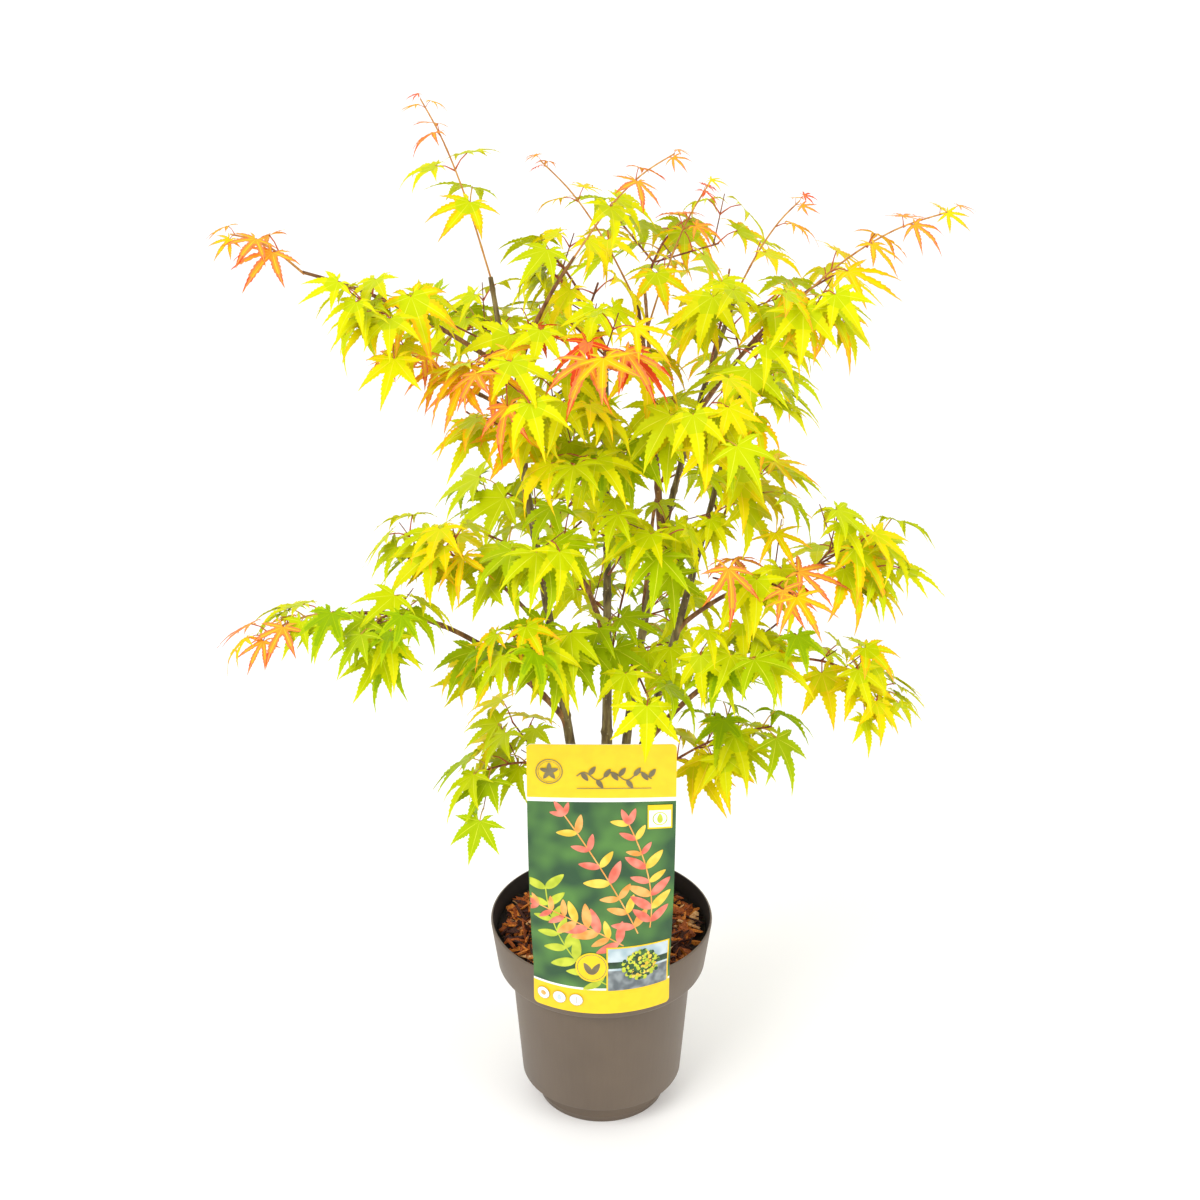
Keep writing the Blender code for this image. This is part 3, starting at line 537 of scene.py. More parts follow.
def limb_paths():
    paths = {"trunk": trunk_path()}
    for limb in LIMBS:
        tip = Vector(limb.tip)
        start = start_on(paths[limb.carrier], limb.at, tip, limb.thick[0])
        paths[limb.name] = tapered(bowed(start, tip, Vector(limb.bow), LIMB_RINGS), limb.thick)
    return paths


def smoothed(path, step):
    """The path drawn as one smooth curve through its points, with a ring at least every step."""
    points, radii = [], []
    count = len(path.points)
    for i in range(count - 1):
        a, b, c, d = (path.points[min(max(i + k, 0), count - 1)] for k in (-1, 0, 1, 2))
        pieces = max(1, math.ceil((c - b).length / step))
        for j in range(pieces):
            t = j / pieces
            turn = 2 * b + (c - a) * t + (2 * a - 5 * b + 4 * c - d) * t**2 + (3 * b - a - 3 * c + d) * t**3
            points.append(turn / 2)
            radii.append(path.radii[i] + (path.radii[i + 1] - path.radii[i]) * t)
    return Path(points + [path.points[-1]], radii + [path.radii[-1]])


def add_tube(skin, path, sides, relief=None, tint=0):
    """A tube along a path with both ends domed. Relief swells it by its spot, its run and its turn."""
    start = len(skin.points)
    side = UP.orthogonal()
    run = 0.0
    last = len(path.points) - 1
    for i, (point, radius) in enumerate(zip(path.points, path.radii)):
        along = (path.points[min(i + 1, last)] - path.points[max(i - 1, 0)]).normalized()
        side = (side - along * side.dot(along)).normalized()
        above = along.cross(side)
        run += (point - path.points[i - 1]).length if i else 0
        for k in range(sides):
            turn = math.tau * k / sides
            out = side * math.cos(turn) + above * math.sin(turn)
            swell = relief(point + out * radius, run, turn) if relief else 1
            skin.points.append(point + out * radius * swell)
    skin.faces.extend(band_faces(start, last + 1, sides))
    for ring, push in ((0, -DOME), (last, DOME)):
        towards = (path.points[min(ring + 1, last)] - path.points[max(ring - 1, 0)]).normalized()
        centre = len(skin.points)
        skin.points.append(path.points[ring] + towards * path.radii[ring] * push)
        for k in range(sides):
            corners = [start + ring * sides + k, start + ring * sides + (k + 1) % sides]
            skin.faces.append((centre, *(corners[::-1] if push < 0 else corners)))
    paint(skin, tint)


def bud_swell(run):
    """How much thicker the wood is at a pair of old buds, by the run along it."""
    off = (run + BUD_SPACING / 2) % BUD_SPACING - BUD_SPACING / 2
    return BUD_SWELL * math.exp(-((off / BUD_LENGTH) ** 2)) if run > COLLAR_LENGTH * 2 else 0


def bough_relief(spot, run, turn):
    collar = COLLAR_SWELL * math.exp(-run / COLLAR_LENGTH)
    place = Vector((spot.x, spot.y, spot.z * WRINKLE_STRETCH))
    wrinkle = noise.noise(place * per_metre(WRINKLE_SIZE))
    return 1 + bud_swell(run) + collar + WRINKLE * wrinkle


def trunk_relief(spot, run, turn):
    """Roots that spread at the foot, then furrows that run up the trunk."""
    offset, sway, size = ROOT_WANDER
    lobes = math.sin(turn * ROOT_LOBES + offset + sway * noise.noise(spot * per_metre(size)))
    swell = TRUNK_WAIST + ROOT_SPREAD * (0.5 + 0.5 * lobes) * math.exp(-run / ROOT_LENGTH)
    for depth, around, length in FURROWS:
        place = Vector((math.cos(turn) * around, math.sin(turn) * around, run * per_metre(length)))
        swell += depth * noise.noise(place)
    return swell + bud_swell(run) * TRUNK_BUDS


def maple_bark(name, dark, middle, light, pore):
    """Thin living bark: green-brown cork broken by long streaks, with pale pores about a millimetre wide."""
    material, tree, shader = new_material(name, middle, 0.66, IOR=1.45)
    place = add_node(tree, "ShaderNodeTexCoord").outputs["Object"]
    tall = add_node(tree, "ShaderNodeMapping", {"Vector": place, "Scale": (1.0, 1.0, 0.22)})
    streak = add_node(tree, "ShaderNodeTexNoise", {"Vector": tall, "Scale": per_metre(3.4), "Detail": 5.0})
    stops = ((0.32, dark), (0.5, middle), (0.66, light))
    tone = add_node(tree, "ShaderNodeValToRGB", {"Fac": streak}, stops)
    pores = {"Vector": place, "Scale": per_metre(5), "Randomness": 1.0}
    spots = add_node(tree, "ShaderNodeTexVoronoi", pores)
    fade = {"From Min": 0.10, "From Max": 0.16, "To Min": 0.7, "To Max": 0.0}
    mask = add_node(tree, "ShaderNodeMapRange", {"Value": spots, **fade})
    layers = {"Factor": mask, "A": tone, "B": colour(pore)}
    mix = add_node(tree, "ShaderNodeMix", layers, data_type="RGBA")
    relief = add_node(tree, "ShaderNodeBump", {"Height": streak, "Strength": 0.6, "Distance": 0.0006})
    set_inputs(tree, shader, {"Base Color": mix.outputs["Result"], "Normal": relief})
    return material


def rooted(path, carrier, at):
    """The path of a limb drawn back into its carrier, so that the fork closes as living wood does."""
    base, along, thickness = path_at(carrier, at)
    first, rest = path.points[0], path.points[1:]
    if at == 1:
        points = [base - along * FORK_DEPTH * thickness, base, first.lerp(rest[0], NECK), *rest]
        radii = [thickness * share for share in NECK_RADII] + [path.radii[0] * NECK_SWELL]
        return Path(points, radii + path.radii[1:])
    inside = base - along * FORK_DEPTH * (path.radii[0] + thickness)
    return Path([inside, first, *rest], [path.radii[0]] + path.radii)


def add_limb(name, path, sides, relief, bark):
    skin = Skin([], [], [])
    add_tube(skin, smoothed(path, RING_STEP), sides, relief)
    add_piece(name + "_wood", mesh_of(name, skin), [bark], "bark", name)


def add_wood(paths):
    old = maple_bark("trunk_bark", "#3F3218", "#6C5A33", "#8A7B4C", "#A79A78")
    young = maple_bark("bough_bark", "#54341A", "#7C5128", "#9A703A", "#BC9868")
    points, radii = paths["trunk"]
    trunk = Path([points[0] - UP * ROOT_DEPTH] + points, [ROOT_RADIUS] + radii)
    add_limb("trunk", trunk, TRUNK_SIDES, trunk_relief, old)
    for limb in LIMBS:
        whole = rooted(paths[limb.name], paths[limb.carrier], limb.at)
        bark = old if limb.name.startswith("stem") and limb.thick[0] > OLD_WOOD else young
        add_limb(limb.name, whole, LIMB_SIDES, bough_relief, bark)


wood = limb_paths()
add_wood(wood)

# Leaf masses.
# Each mass is one leafy twig: it forks into side shoots and thread-fine twigs that bear opposite pairs of
# leaves on slim reddish stalks. They grow here one by one, each only where it has room.

# Leaf is the length of a full leaf's middle lobe, and loss the share of it that a leaf at the tip lacks.
# Loss is greatest on young shoots, whose twigs are also finer and whose leaves are more level. Reach is the
# radius of the mass's own space round its twig.
Mass = namedtuple("Mass", "name carrier at tip shoots pairs leaf loss reach tint")
MASSES = [Mass("leaves_" + name, *row) for name, *row in (
    ("top_left", "stem_left", 1, (-0.131, -0.02, 0.901), 0, 4, 0.064, 0.8, 0.075, "yellow"),
    ("top_fork", "stem_fork", 1, (-0.047, 0.07, 0.827), 0, 3, 0.058, 0.75, 0.07, "gold"),
    ("top_centre", "stem_high", 1, (0.052, -0.055, 0.871), 0, 3, 0.056, 0.75, 0.075, "yellow"),
    ("top_middle", "stem_fork", 0.86, (0.08, 0.03, 0.82), 0, 3, 0.054, 0.7, 0.072, "gold"),
    ("top_right", "stem_back", 1, (0.152, 0.055, 0.8), 0, 3, 0.05, 0.7, 0.072, "yellow"),
    ("far_high_right", "bough_high_right", 1, (0.261, 0, 0.81), 0, 4, 0.056, 0.65, 0.074, "coral"),
    ("high_right", "bough_high_right", 0.7, (0.158, -0.07, 0.756), 1, 3, 0.054, 0.18, 0.083, "gold"),
    ("far_high_left", "bough_high_left", 1, (-0.265, -0.085, 0.821), 0, 3, 0.046, 0.5, 0.066, "coral"),
    ("high_left", "bough_high_left", 0.5, (-0.158, -0.12, 0.772), 0, 3, 0.057, 0.18, 0.083, "yellow"),
    ("mid_left", "bough_mid_left", 1, (-0.152, -0.08, 0.722), 0, 3, 0.049, 0.6, 0.078, "gold"),
    ("left_front", "stem_left", 0.88, (-0.082, -0.128, 0.735), 1, 3, 0.057, 0.18, 0.086, "coral"),
    ("centre_front", "stem_centre", 0.95, (0.002, -0.13, 0.742), 1, 3, 0.059, 0.18, 0.086, "coral"),
    ("high_centre", "stem_centre", 1, (-0.04, -0.01, 0.782), 1, 4, 0.057, 0.18, 0.083, "lime"),
    ("right_crown", "stem_back", 0.86, (0.098, -0.04, 0.756), 2, 3, 0.055, 0.18, 0.086, "lime"),
    ("right_front", "stem_right", 0.86, (0.066, -0.125, 0.695), 1, 3, 0.057, 0.18, 0.083, "lime"),
    ("right_top", "stem_right", 0.97, (0.121, -0.085, 0.716), 0, 4, 0.055, 0.18, 0.08, "lime"),
    ("waist_left", "stem_left", 0.7, (-0.078, -0.085, 0.674), 1, 3, 0.052, 0.18, 0.08, "gold"),
    ("centre_middle", "stem_left", 0.76, (-0.02, -0.105, 0.694), 1, 3, 0.054, 0.18, 0.08, "lime"),
    ("waist_centre", "stem_centre", 0.74, (-0.02, -0.115, 0.652), 1, 3, 0.057, 0.18, 0.083, "lime"),
    ("waist_right", "stem_right", 0.66, (0.12, -0.06, 0.62), 1, 3, 0.055, 0.18, 0.078, "yellow"),
    ("inner_left", "bough_inner_left", 1, (-0.148, -0.078, 0.56), 1, 3, 0.053, 0.18, 0.08, "yellow"),
    ("left_middle", "stem_left", 0.5, (-0.052, -0.12, 0.582), 2, 3, 0.057, 0.18, 0.09, "lime"),
    ("front_middle", "stem_centre", 0.52, (0.052, -0.115, 0.596), 1, 3, 0.057, 0.18, 0.09, "lime"),
    ("far_low_left", "bough_low_left", 1, (-0.256, -0.124, 0.517), 0, 4, 0.051, 0.35, 0.076, "yellow"),
    ("low_left", "bough_low_left", 0.75, (-0.172, -0.148, 0.535), 1, 3, 0.053, 0.18, 0.08, "lime"),
    ("low_inner_left", "bough_low_left", 0.2, (-0.06, -0.13, 0.504), 1, 3, 0.057, 0.18, 0.088, "lime"),
    ("foot_left", "stem_left", 0.14, (-0.094, -0.052, 0.356), 1, 3, 0.059, 0.18, 0.083, "lime"),
    ("low_front", "stem_centre", 0.34, (0.036, -0.13, 0.466), 1, 3, 0.057, 0.18, 0.088, "lime"),
    ("mid_right", "bough_mid_right", 1, (0.212, -0.07, 0.548), 1, 3, 0.055, 0.18, 0.08, "yellow"),
    ("right_coral", "bough_mid_right", 0.4, (0.142, -0.135, 0.558), 2, 3, 0.055, 0.18, 0.088, "coral"),
    ("far_low_right", "bough_low_right", 1, (0.222, -0.09, 0.448), 0, 4, 0.05, 0.18, 0.07, "yellow"),
    ("low_right", "bough_low_right", 0.5, (0.108, -0.135, 0.502), 1, 3, 0.055, 0.18, 0.088, "lime"),
    ("foot_right", "stem_right", 0.1, (0.138, -0.03, 0.384), 0, 4, 0.057, 0.18, 0.08, "lime"),
    ("back_left", "bough_back_left", 1, (-0.05, 0.162, 0.495), 1, 3, 0.059, 0.18, 0.098, "lime"),
    ("back_right", "bough_back_right", 1, (0.064, 0.182, 0.532), 1, 3, 0.059, 0.18, 0.098, "lime"),
    ("back_high", "bough_back_high", 1, (0.06, 0.205, 0.725), 1, 3, 0.059, 0.18, 0.098, "lime"),
    ("back_far", "bough_back_far", 1, (-0.098, 0.15, 0.668), 1, 3, 0.059, 0.18, 0.098, "lime"),
    ("back_low", "stem_centre", 0.28, (0.03, 0.15, 0.45), 1, 3, 0.059, 0.18, 0.098, "lime"),
    ("back_right_high", "stem_back", 0.8, (0.19, 0.14, 0.71), 1, 3, 0.059, 0.18, 0.093, "lime"),
)]
STEM_RADII = (0.0019, 0.0013)
THINNING = 0.5
SHOOT_RADII = (0.0014, 0.0012)
FINE_RADII = (0.0009, 0.0006)
STEM_RINGS = 4
FIRST_NODE = 0.30
LAST_NODE = 0.93
ARCH = 0.10
STEEP = 0.75
SHOOT_LIFT = (-0.05, 0.45)
SHOOT_REACH = (0.45, 0.60)
SHOOT_NODE = 0.60
LEAF_SPREAD = (0.88, 1.08)
TIP_LEAF = 0.97
NODE_SWAY = 20
TRIES = 9
FINE_TWIGS = 8
YOUNG = 0.34
FINE_PLACE = (0.2, 0.98)
FINE_REACH = (0.22, 0.50)
FINE_LEAF = (0.62, 0.90)

# Shoots lean and leaves head partly along their twig, the first number, and partly out of it, the second.
SHOOT_LEAN = (0.55, 0.85)
LEAF_LEAN = (0.50, 1.00)

# The plain star that keeps each leaf's room, by its lobes' angles and shares of the middle lobe's length.
LOBES = ((-90, 0.56), (-44, 0.86), (0, 1.00), (44, 0.86), (90, 0.56))
NOTCHES = (0.30, 0.42, 0.42, 0.30)
STALK = 0.42
STALK_RADIUS = 0.0005
STALK_SAG = 0.4
ROOT_SINK = 0.0002
TIP_SINK = 0.0012
HEART_RISE = 0.0010
BLADE_HEART = 0.16
BLADE_CUP = 0.16
STALK_RISE = (0.05, 0.35)
HANG = (14, 62)
LEVELLING = 0.8
ROLL = 24
FOLD = 82
OUTWARD = 0.55
HALFWAY = 0.5
LIMB_CLEARANCE = 0.005
TWIG_CLEARANCE = 0.002
NEIGHBOURHOOD = 0.14
BARE_SHARE = 0.20
SHRINK = 0.97
SLACK = 0.01
ALMOST_UPRIGHT = 0.05

# The card is in the crown's way, so its place is set out here.
CARD_WIDTH = 0.120
CARD_FOOT = 0.147
CARD_HEAD = 0.392
CARD_LEAN = 0.024
CARD_ROUND = RIM_RADIUS + 0.0014

Leaf = namedtuple("Leaf", "root frame size")
Spray = namedtuple("Spray", "shoot leaves")


def path_pieces(path):
    """The middle and the search tree of each straight piece of a path, a little thicker than it is."""
    pieces = []
    for i in range(len(path.points) - 1):
        radii = [radius + TWIG_CLEARANCE for radius in path.radii[i : i + 2]]
        shape = twig_shape(Path(path.points[i : i + 2], radii))
        pieces.append(((path.points[i] + path.points[i + 1]) / 2, BVHTree.FromBMesh(shape)))
        shape.free()
    return pieces


def mass_stem(mass, paths):
    tip = Vector(mass.tip)
    radii = [radius * (1 - THINNING * mass.loss) for radius in STEM_RADII]
    start = start_on(paths[mass.carrier], mass.at, tip, radii[0])
    arch = UP * ARCH * (tip - start).length
    return tapered(bowed(start, tip, arch, STEM_RINGS), radii)


def at_card(point):
    beside = abs(point.x) < CARD_WIDTH / 2 + LIMB_CLEARANCE
    level = CARD_FOOT < point.z < CARD_HEAD + LIMB_CLEARANCE
    return beside and level and abs(point.y + CARD_ROUND - CARD_LEAN / 2) < CARD_LEAN


def distance_to(path, point, most):
    """Distance from a point to the skin of a path, or the most where the path is farther off than that."""
    nearest = most
    if (point - path.points[0]).length > (path.points[-1] - path.points[0]).length + SLACK + most:
        return nearest
    for first, second, radius in zip(path.points, path.points[1:], path.radii):
        run = second - first
        share = min(max((point - first).dot(run) / run.length_squared, 0), 1)
        nearest = min(nearest, (first + run * share - point).length - radius)
    return nearest


class Room:
    """The space of one mass, within reach of its stem, and what grows in the crown beside it."""

    def __init__(self, mass, stems, limbs, grown):
        self.stem = stems[mass.name]
        self.reach = mass.reach
        self.droop = 1 - LEVELLING * mass.loss
        self.others = [stem for name, stem in stems.items() if name != mass.name]
        self.limbs = limbs + self.others
        self.twigs = [self.stem]
        self.grown = grown

    def holds(self, points, clearance):
        """Whether points lie in the space, clear of the plant card and of the limbs."""
        for point in points:
            if distance_to(self.stem, point, self.reach) >= self.reach or at_card(point):
                return False
            if any(distance_to(path, point, clearance) < clearance for path in self.limbs):
                return False
        return True

    def is_nearest(self, point):
        """Whether this mass's stem is the nearest to a point."""
        depth = distance_to(self.stem, point, self.reach)
        return all(distance_to(other, point, self.reach) >= depth for other in self.others)

    def fits(self, shape, middle):
        """Whether a shape crosses nothing that has grown already. It is then counted as grown."""
        tree = BVHTree.FromBMesh(shape)
        shape.free()
        for spot, other in self.grown:
            if (middle - spot).length < NEIGHBOURHOOD and tree.overlap(other):
                return False
        self.grown.append((middle, tree))
        return True

    def holds_leaf(self, leaf):
        """Whether a leaf stays in the space, off the twigs, and apart from its neighbours."""
        lobes = [blade_point(leaf, angle, share) for angle, share in LOBES]
        halfway = [blade_point(leaf, angle, HALFWAY * share) for angle, share in LOBES]
        heart = blade_point(leaf, 0, HALFWAY)
        if not self.is_nearest(heart):
            return False
        for point in lobes + halfway:
            if any(distance_to(twig, point, TWIG_CLEARANCE) < TWIG_CLEARANCE for twig in self.twigs):
                return False
        if not self.holds(lobes + halfway + [leaf.frame.translation], LIMB_CLEARANCE):
            return False
        return self.fits(leaf_star(leaf, BARE_SHARE), heart)

    def takes_shoot(self, shoot):
        """Whether a shoot stays in the space and crosses nothing. Its foot is left out of that."""
        root, tip = shoot.points
        bare = tapered([root.lerp(tip, BARE_SHARE), tip], shoot.radii)
        return self.holds([tip], TWIG_CLEARANCE) and self.fits(twig_shape(bare), (root + tip) / 2)


def blade_point(leaf, angle, share):
    """A point of the blade at an angle from the middle lobe and a share of its length, cupped down."""
    turn = math.radians(angle)
    reach = share * leaf.size
    drop = -BLADE_CUP * share * reach
    return leaf.frame @ Vector((reach * math.cos(turn), reach * math.sin(turn), drop))


def try_leaf(rng, root, heading, size, room):
    """A leaf that hangs outward from its root, or None where there is no room for it."""
    for attempt in range(TRIES):
        size *= SHRINK if attempt else 1
        widest = NODE_SWAY * (1 + attempt / 3)
        sway = Matrix.Rotation(math.radians(rng.uniform(-widest, widest)), 3, "Z")
        stalk = (sway @ heading + UP * rng.uniform(*STALK_RISE)).normalized()
        joint = root + stalk * STALK * size
        outward = Vector((joint.x, joint.y, 0)).normalized() * OUTWARD
        flat = (Vector((stalk.x, stalk.y, 0)) + outward).normalized()
        hang = math.radians(rng.uniform(*HANG) * room.droop)
        axis = flat * math.cos(hang) - UP * math.sin(hang)
        if stalk.angle(axis) > math.radians(FOLD):
            continue
        normal = flat * math.sin(hang) + UP * math.cos(hang)
        normal = Matrix.Rotation(math.radians(rng.uniform(-ROLL, ROLL)), 3, axis) @ normal
        frame = Matrix((axis, normal.cross(axis), normal)).transposed().to_4x4()
        frame.translation = joint
        leaf = Leaf(root - stalk * ROOT_SINK, frame, size)
        if room.holds_leaf(leaf):
            return leaf
    return None


def node_side(along, turn):
    """The direction out of a twig at a node, turned about the twig."""
    side = along.cross(UP)
    if side.length < ALMOST_UPRIGHT:
        side = Vector((1, 0, 0))
    return Matrix.Rotation(turn, 3, along) @ side.normalized()


def leaning(along, out, shares, lift=0.0):
    """A direction partly along a twig and partly out of it, with a lift."""
    return (along * shares[0] + out * shares[1] + UP * lift).normalized()


def shoot_leaves(rng, shoot, turn, size, room, sink):
    """A pair of leaves on a shoot and one at its tip, with None for each that has no room."""
    middle, toward, _ = path_at(shoot, SHOOT_NODE)
    side = node_side(toward, turn)
    leaves = [try_leaf(rng, middle, leaning(toward, out, LEAF_LEAN), size, room) for out in (side, -side)]
    return leaves + [try_leaf(rng, shoot.points[-1] - toward * sink, toward, size, room)]


def grow(mass, stem, room):
    """Side shoots and leaves along the stem of one mass, in opposite pairs, as a list of sprays."""
    rng = random.Random(mass.name)
    sprays = []
    nodes = mass.shoots + mass.pairs
    for node in range(nodes):
        share = FIRST_NODE + (LAST_NODE - FIRST_NODE) * node / (nodes - 1)
        point, along, _ = path_at(stem, share)
        turn = math.radians(rng.uniform(-NODE_SWAY, NODE_SWAY))
        if abs(along.z) > STEEP:
            turn += math.pi / 2 * (node % 2)
        side = node_side(along, turn)
        pair = []
        for out in (side, -side):
            size = mass.leaf * rng.uniform(*LEAF_SPREAD) * (1 - mass.loss * share)
            if node >= mass.shoots:
                pair.append(try_leaf(rng, point, leaning(along, out, LEAF_LEAN), size, room))
                continue
            toward = leaning(along, out, SHOOT_LEAN, rng.uniform(*SHOOT_LIFT))
            tip = point + toward * mass.reach * rng.uniform(*SHOOT_REACH)
            shoot = Path([point, tip], SHOOT_RADII)
            if room.takes_shoot(shoot):
                room.twigs.append(shoot)
                sprays.append(Spray(shoot, shoot_leaves(rng, shoot, turn, size, room, TIP_SINK)))
        sprays.append(Spray(None, pair))
    point, along, _ = path_at(stem, 1)
    size = mass.leaf * TIP_LEAF * (1 - mass.loss)
    sprays.append(Spray(None, [try_leaf(rng, point - along * TIP_SINK, along, size, room)]))
    return sprays


def grow_finer(mass, room):
    """Fine twigs with smaller leaves, wherever the mass still has room for them."""
    rng = random.Random(mass.name + " finer")
    sprays = []
    carriers = list(room.twigs)
    for _ in range(FINE_TWIGS if mass.loss < YOUNG else 0):
        point, along, _ = path_at(rng.choice(carriers), rng.uniform(*FINE_PLACE))
        out = node_side(along, rng.uniform(-math.pi, math.pi))
        toward = leaning(along, out, SHOOT_LEAN, rng.uniform(*SHOOT_LIFT))
        tip = point + toward * mass.reach * rng.uniform(*FINE_REACH)
        shoot = Path([point, tip], FINE_RADII)
        size = mass.leaf * rng.uniform(*FINE_LEAF)
        if room.takes_shoot(shoot):
            turn = rng.uniform(-math.pi, math.pi)
            leaves = shoot_leaves(rng, shoot, turn, size, room, TIP_SINK / 2)
            if any(leaves):
                sprays.append(Spray(shoot, leaves))
    return sprays


def twig_shape(path):
    """A slim three-sided tapering twig, closed at both ends, that keeps a twig's room."""
    shape = bmesh.new()
    run = (path.points[-1] - path.points[0]).normalized()
    guide = UP if abs(run.z) < STEEP else Vector((1, 0, 0))
    turns = [math.tau * k / 3 for k in range(3)]
    rings = []
    for i, (point, radius) in enumerate(zip(path.points, path.radii)):
        before = path.points[max(i - 1, 0)]
        after = path.points[min(i + 1, len(path.points) - 1)]
        along = (after - before).normalized()
        across = along.cross(guide).normalized()
        above = across.cross(along)
        corners = [across * math.sin(turn) + above * math.cos(turn) for turn in turns]
        rings.append([shape.verts.new(point + radius * corner) for corner in corners])
    for ring, following in zip(rings, rings[1:]):
        for k in range(3):
            shape.faces.new((ring[k], ring[(k + 1) % 3], following[(k + 1) % 3], following[k]))
    shape.faces.new(rings[0])
    shape.faces.new(rings[-1])
    return shape


def stalk_corners(along, across):
    """Where the three edges of a stalk lie about its middle: one below it and one above each side."""
    beside = (across - along * across.dot(along)).normalized()
    above = along.cross(beside)
    turns = [math.radians(angle) for angle in (-60, 60, 180)]
    return [STALK_RADIUS * (above * math.cos(turn) + beside * math.sin(turn)) for turn in turns]


def leaf_star(leaf, bare):
    """The plain lobed star on its stalk that keeps a leaf's room, without the stalk's bare first share."""
    shape = bmesh.new()
    joint = leaf.frame.translation
    root = leaf.root.lerp(joint, bare)
    axis, across, normal = (leaf.frame.to_3x3().col[i] for i in range(3))
    stalk = (joint - leaf.root).normalized()
    mitre = (stalk + axis).normalized()
    sag = STALK_SAG * STALK_RADIUS * normal
    root_ring = [shape.verts.new(root + corner) for corner in stalk_corners(stalk, across)]
    joint_ring = [shape.verts.new(joint + corner - sag) for corner in stalk_corners(mitre, across)]
    rim = [joint_ring[0]]
    for number, (angle, share) in enumerate(LOBES):
        rim.append(shape.verts.new(blade_point(leaf, angle, share)))
        if number < len(NOTCHES):
            between = (angle + LOBES[number + 1][0]) / 2
            rim.append(shape.verts.new(blade_point(leaf, between, NOTCHES[number])))
    rim.append(joint_ring[1])
    heart = shape.verts.new(joint + axis * BLADE_HEART * leaf.size + normal * HEART_RISE)
    for first, second in zip(rim, rim[1:]):
        shape.faces.new((heart, first, second))
        shape.faces.new((joint_ring[2], second, first))
    shape.faces.new((heart, joint_ring[1], joint_ring[0]))
    for k in range(3):
        following = (k + 1) % 3
        shape.faces.new((root_ring[k], root_ring[following], joint_ring[following], joint_ring[k]))
    shape.faces.new(root_ring[::-1])
    return shape


# Leaf blades.
# A blade is thin and has seven lobes, the hindmost two small, each with a sunken vein and saw teeth that
# point to its tip. A few broad and a few slender forms, none quite alike, are turned and sized for all.

# Lobes by angle and length, and their teeth. Broad blades have shallow notches and wide lobes; slender ones
# are cut deep. Widths are a lobe's half width as a share of its length, along it.
BLADE_LOBES = (
    (-128, 0.34), (-88, 0.60), (-44, 0.86), (0, 1.00), (44, 0.86), (88, 0.60), (128, 0.34)
)
TEETH = (4, 5, 7, 8, 7, 5, 4)
BROAD_NOTCHES = (0.18, 0.26, 0.33, 0.33, 0.26, 0.18)
SLENDER_NOTCHES = (0.12, 0.17, 0.21, 0.21, 0.17, 0.12)
BROAD_WIDTHS = (
    (0.30, 0.118), (0.44, 0.134), (0.56, 0.122), (0.68, 0.088), (0.80, 0.050), (0.91, 0.021)
)
SLENDER_WIDTHS = (
    (0.20, 0.062), (0.38, 0.084), (0.54, 0.084), (0.68, 0.062), (0.80, 0.036), (0.91, 0.016)
)
TOOTH_DEPTH = 0.15
TOOTH_DEPTHS = (0.3, 1.0)
TOOTH_FOOT = 0.12
TOOTH_TIP = 0.86
LAST_TOOTH = 0.95
LOBE_START = (0.9, 0.12)
VEIN_WIDTH = 0.0080
VEIN_TAPER = 0.8
INNER_SHARE = 0.52
# From these shares of a lobe its rim takes the tip's tint, its inner strip the edge's, and then the tip's.
RIM_TIP, INNER_EDGE, INNER_TIP = 0.60, 0.55, 0.82
VALLEY = 0.30
CRINKLE = 0.008
LOBE_SPREAD = 0.5
FORMS = 9

# How one form of blade differs from the next, in shares of its length and in degrees.
FORM_FULLNESS = (0.86, 1.12)
FORM_CUT = (0.82, 1.12)
NOTCH_REACH = (0.92, 1.08)
NOTCH_TURN = 3
NOTCH_RISE = 0.018
BLADE_BASE = (-0.012, 0.035)
LOBE_REACH = (0.93, 1.0)
LOBE_TURN = 4
LOBE_SICKLE = 0.16
LOBE_SAG = (0.0, 0.9)
SAG_FROM = 0.55


def blade_drop(reach):
    """How far the blade has cupped down at this share of its length."""
    return -BLADE_CUP * reach * reach


def lobe_width(widths, t):
    """A lobe's half width as a share of its length, by the share of the way along it."""
    if t >= widths[-1][0]:
        return widths[-1][1] * (1 - t) / (1 - widths[-1][0])
    for (near, first), (far, second) in zip(widths, widths[1:]):
        if t <= far:
            return first + (second - first) * max(t - near, 0) / (far - near)


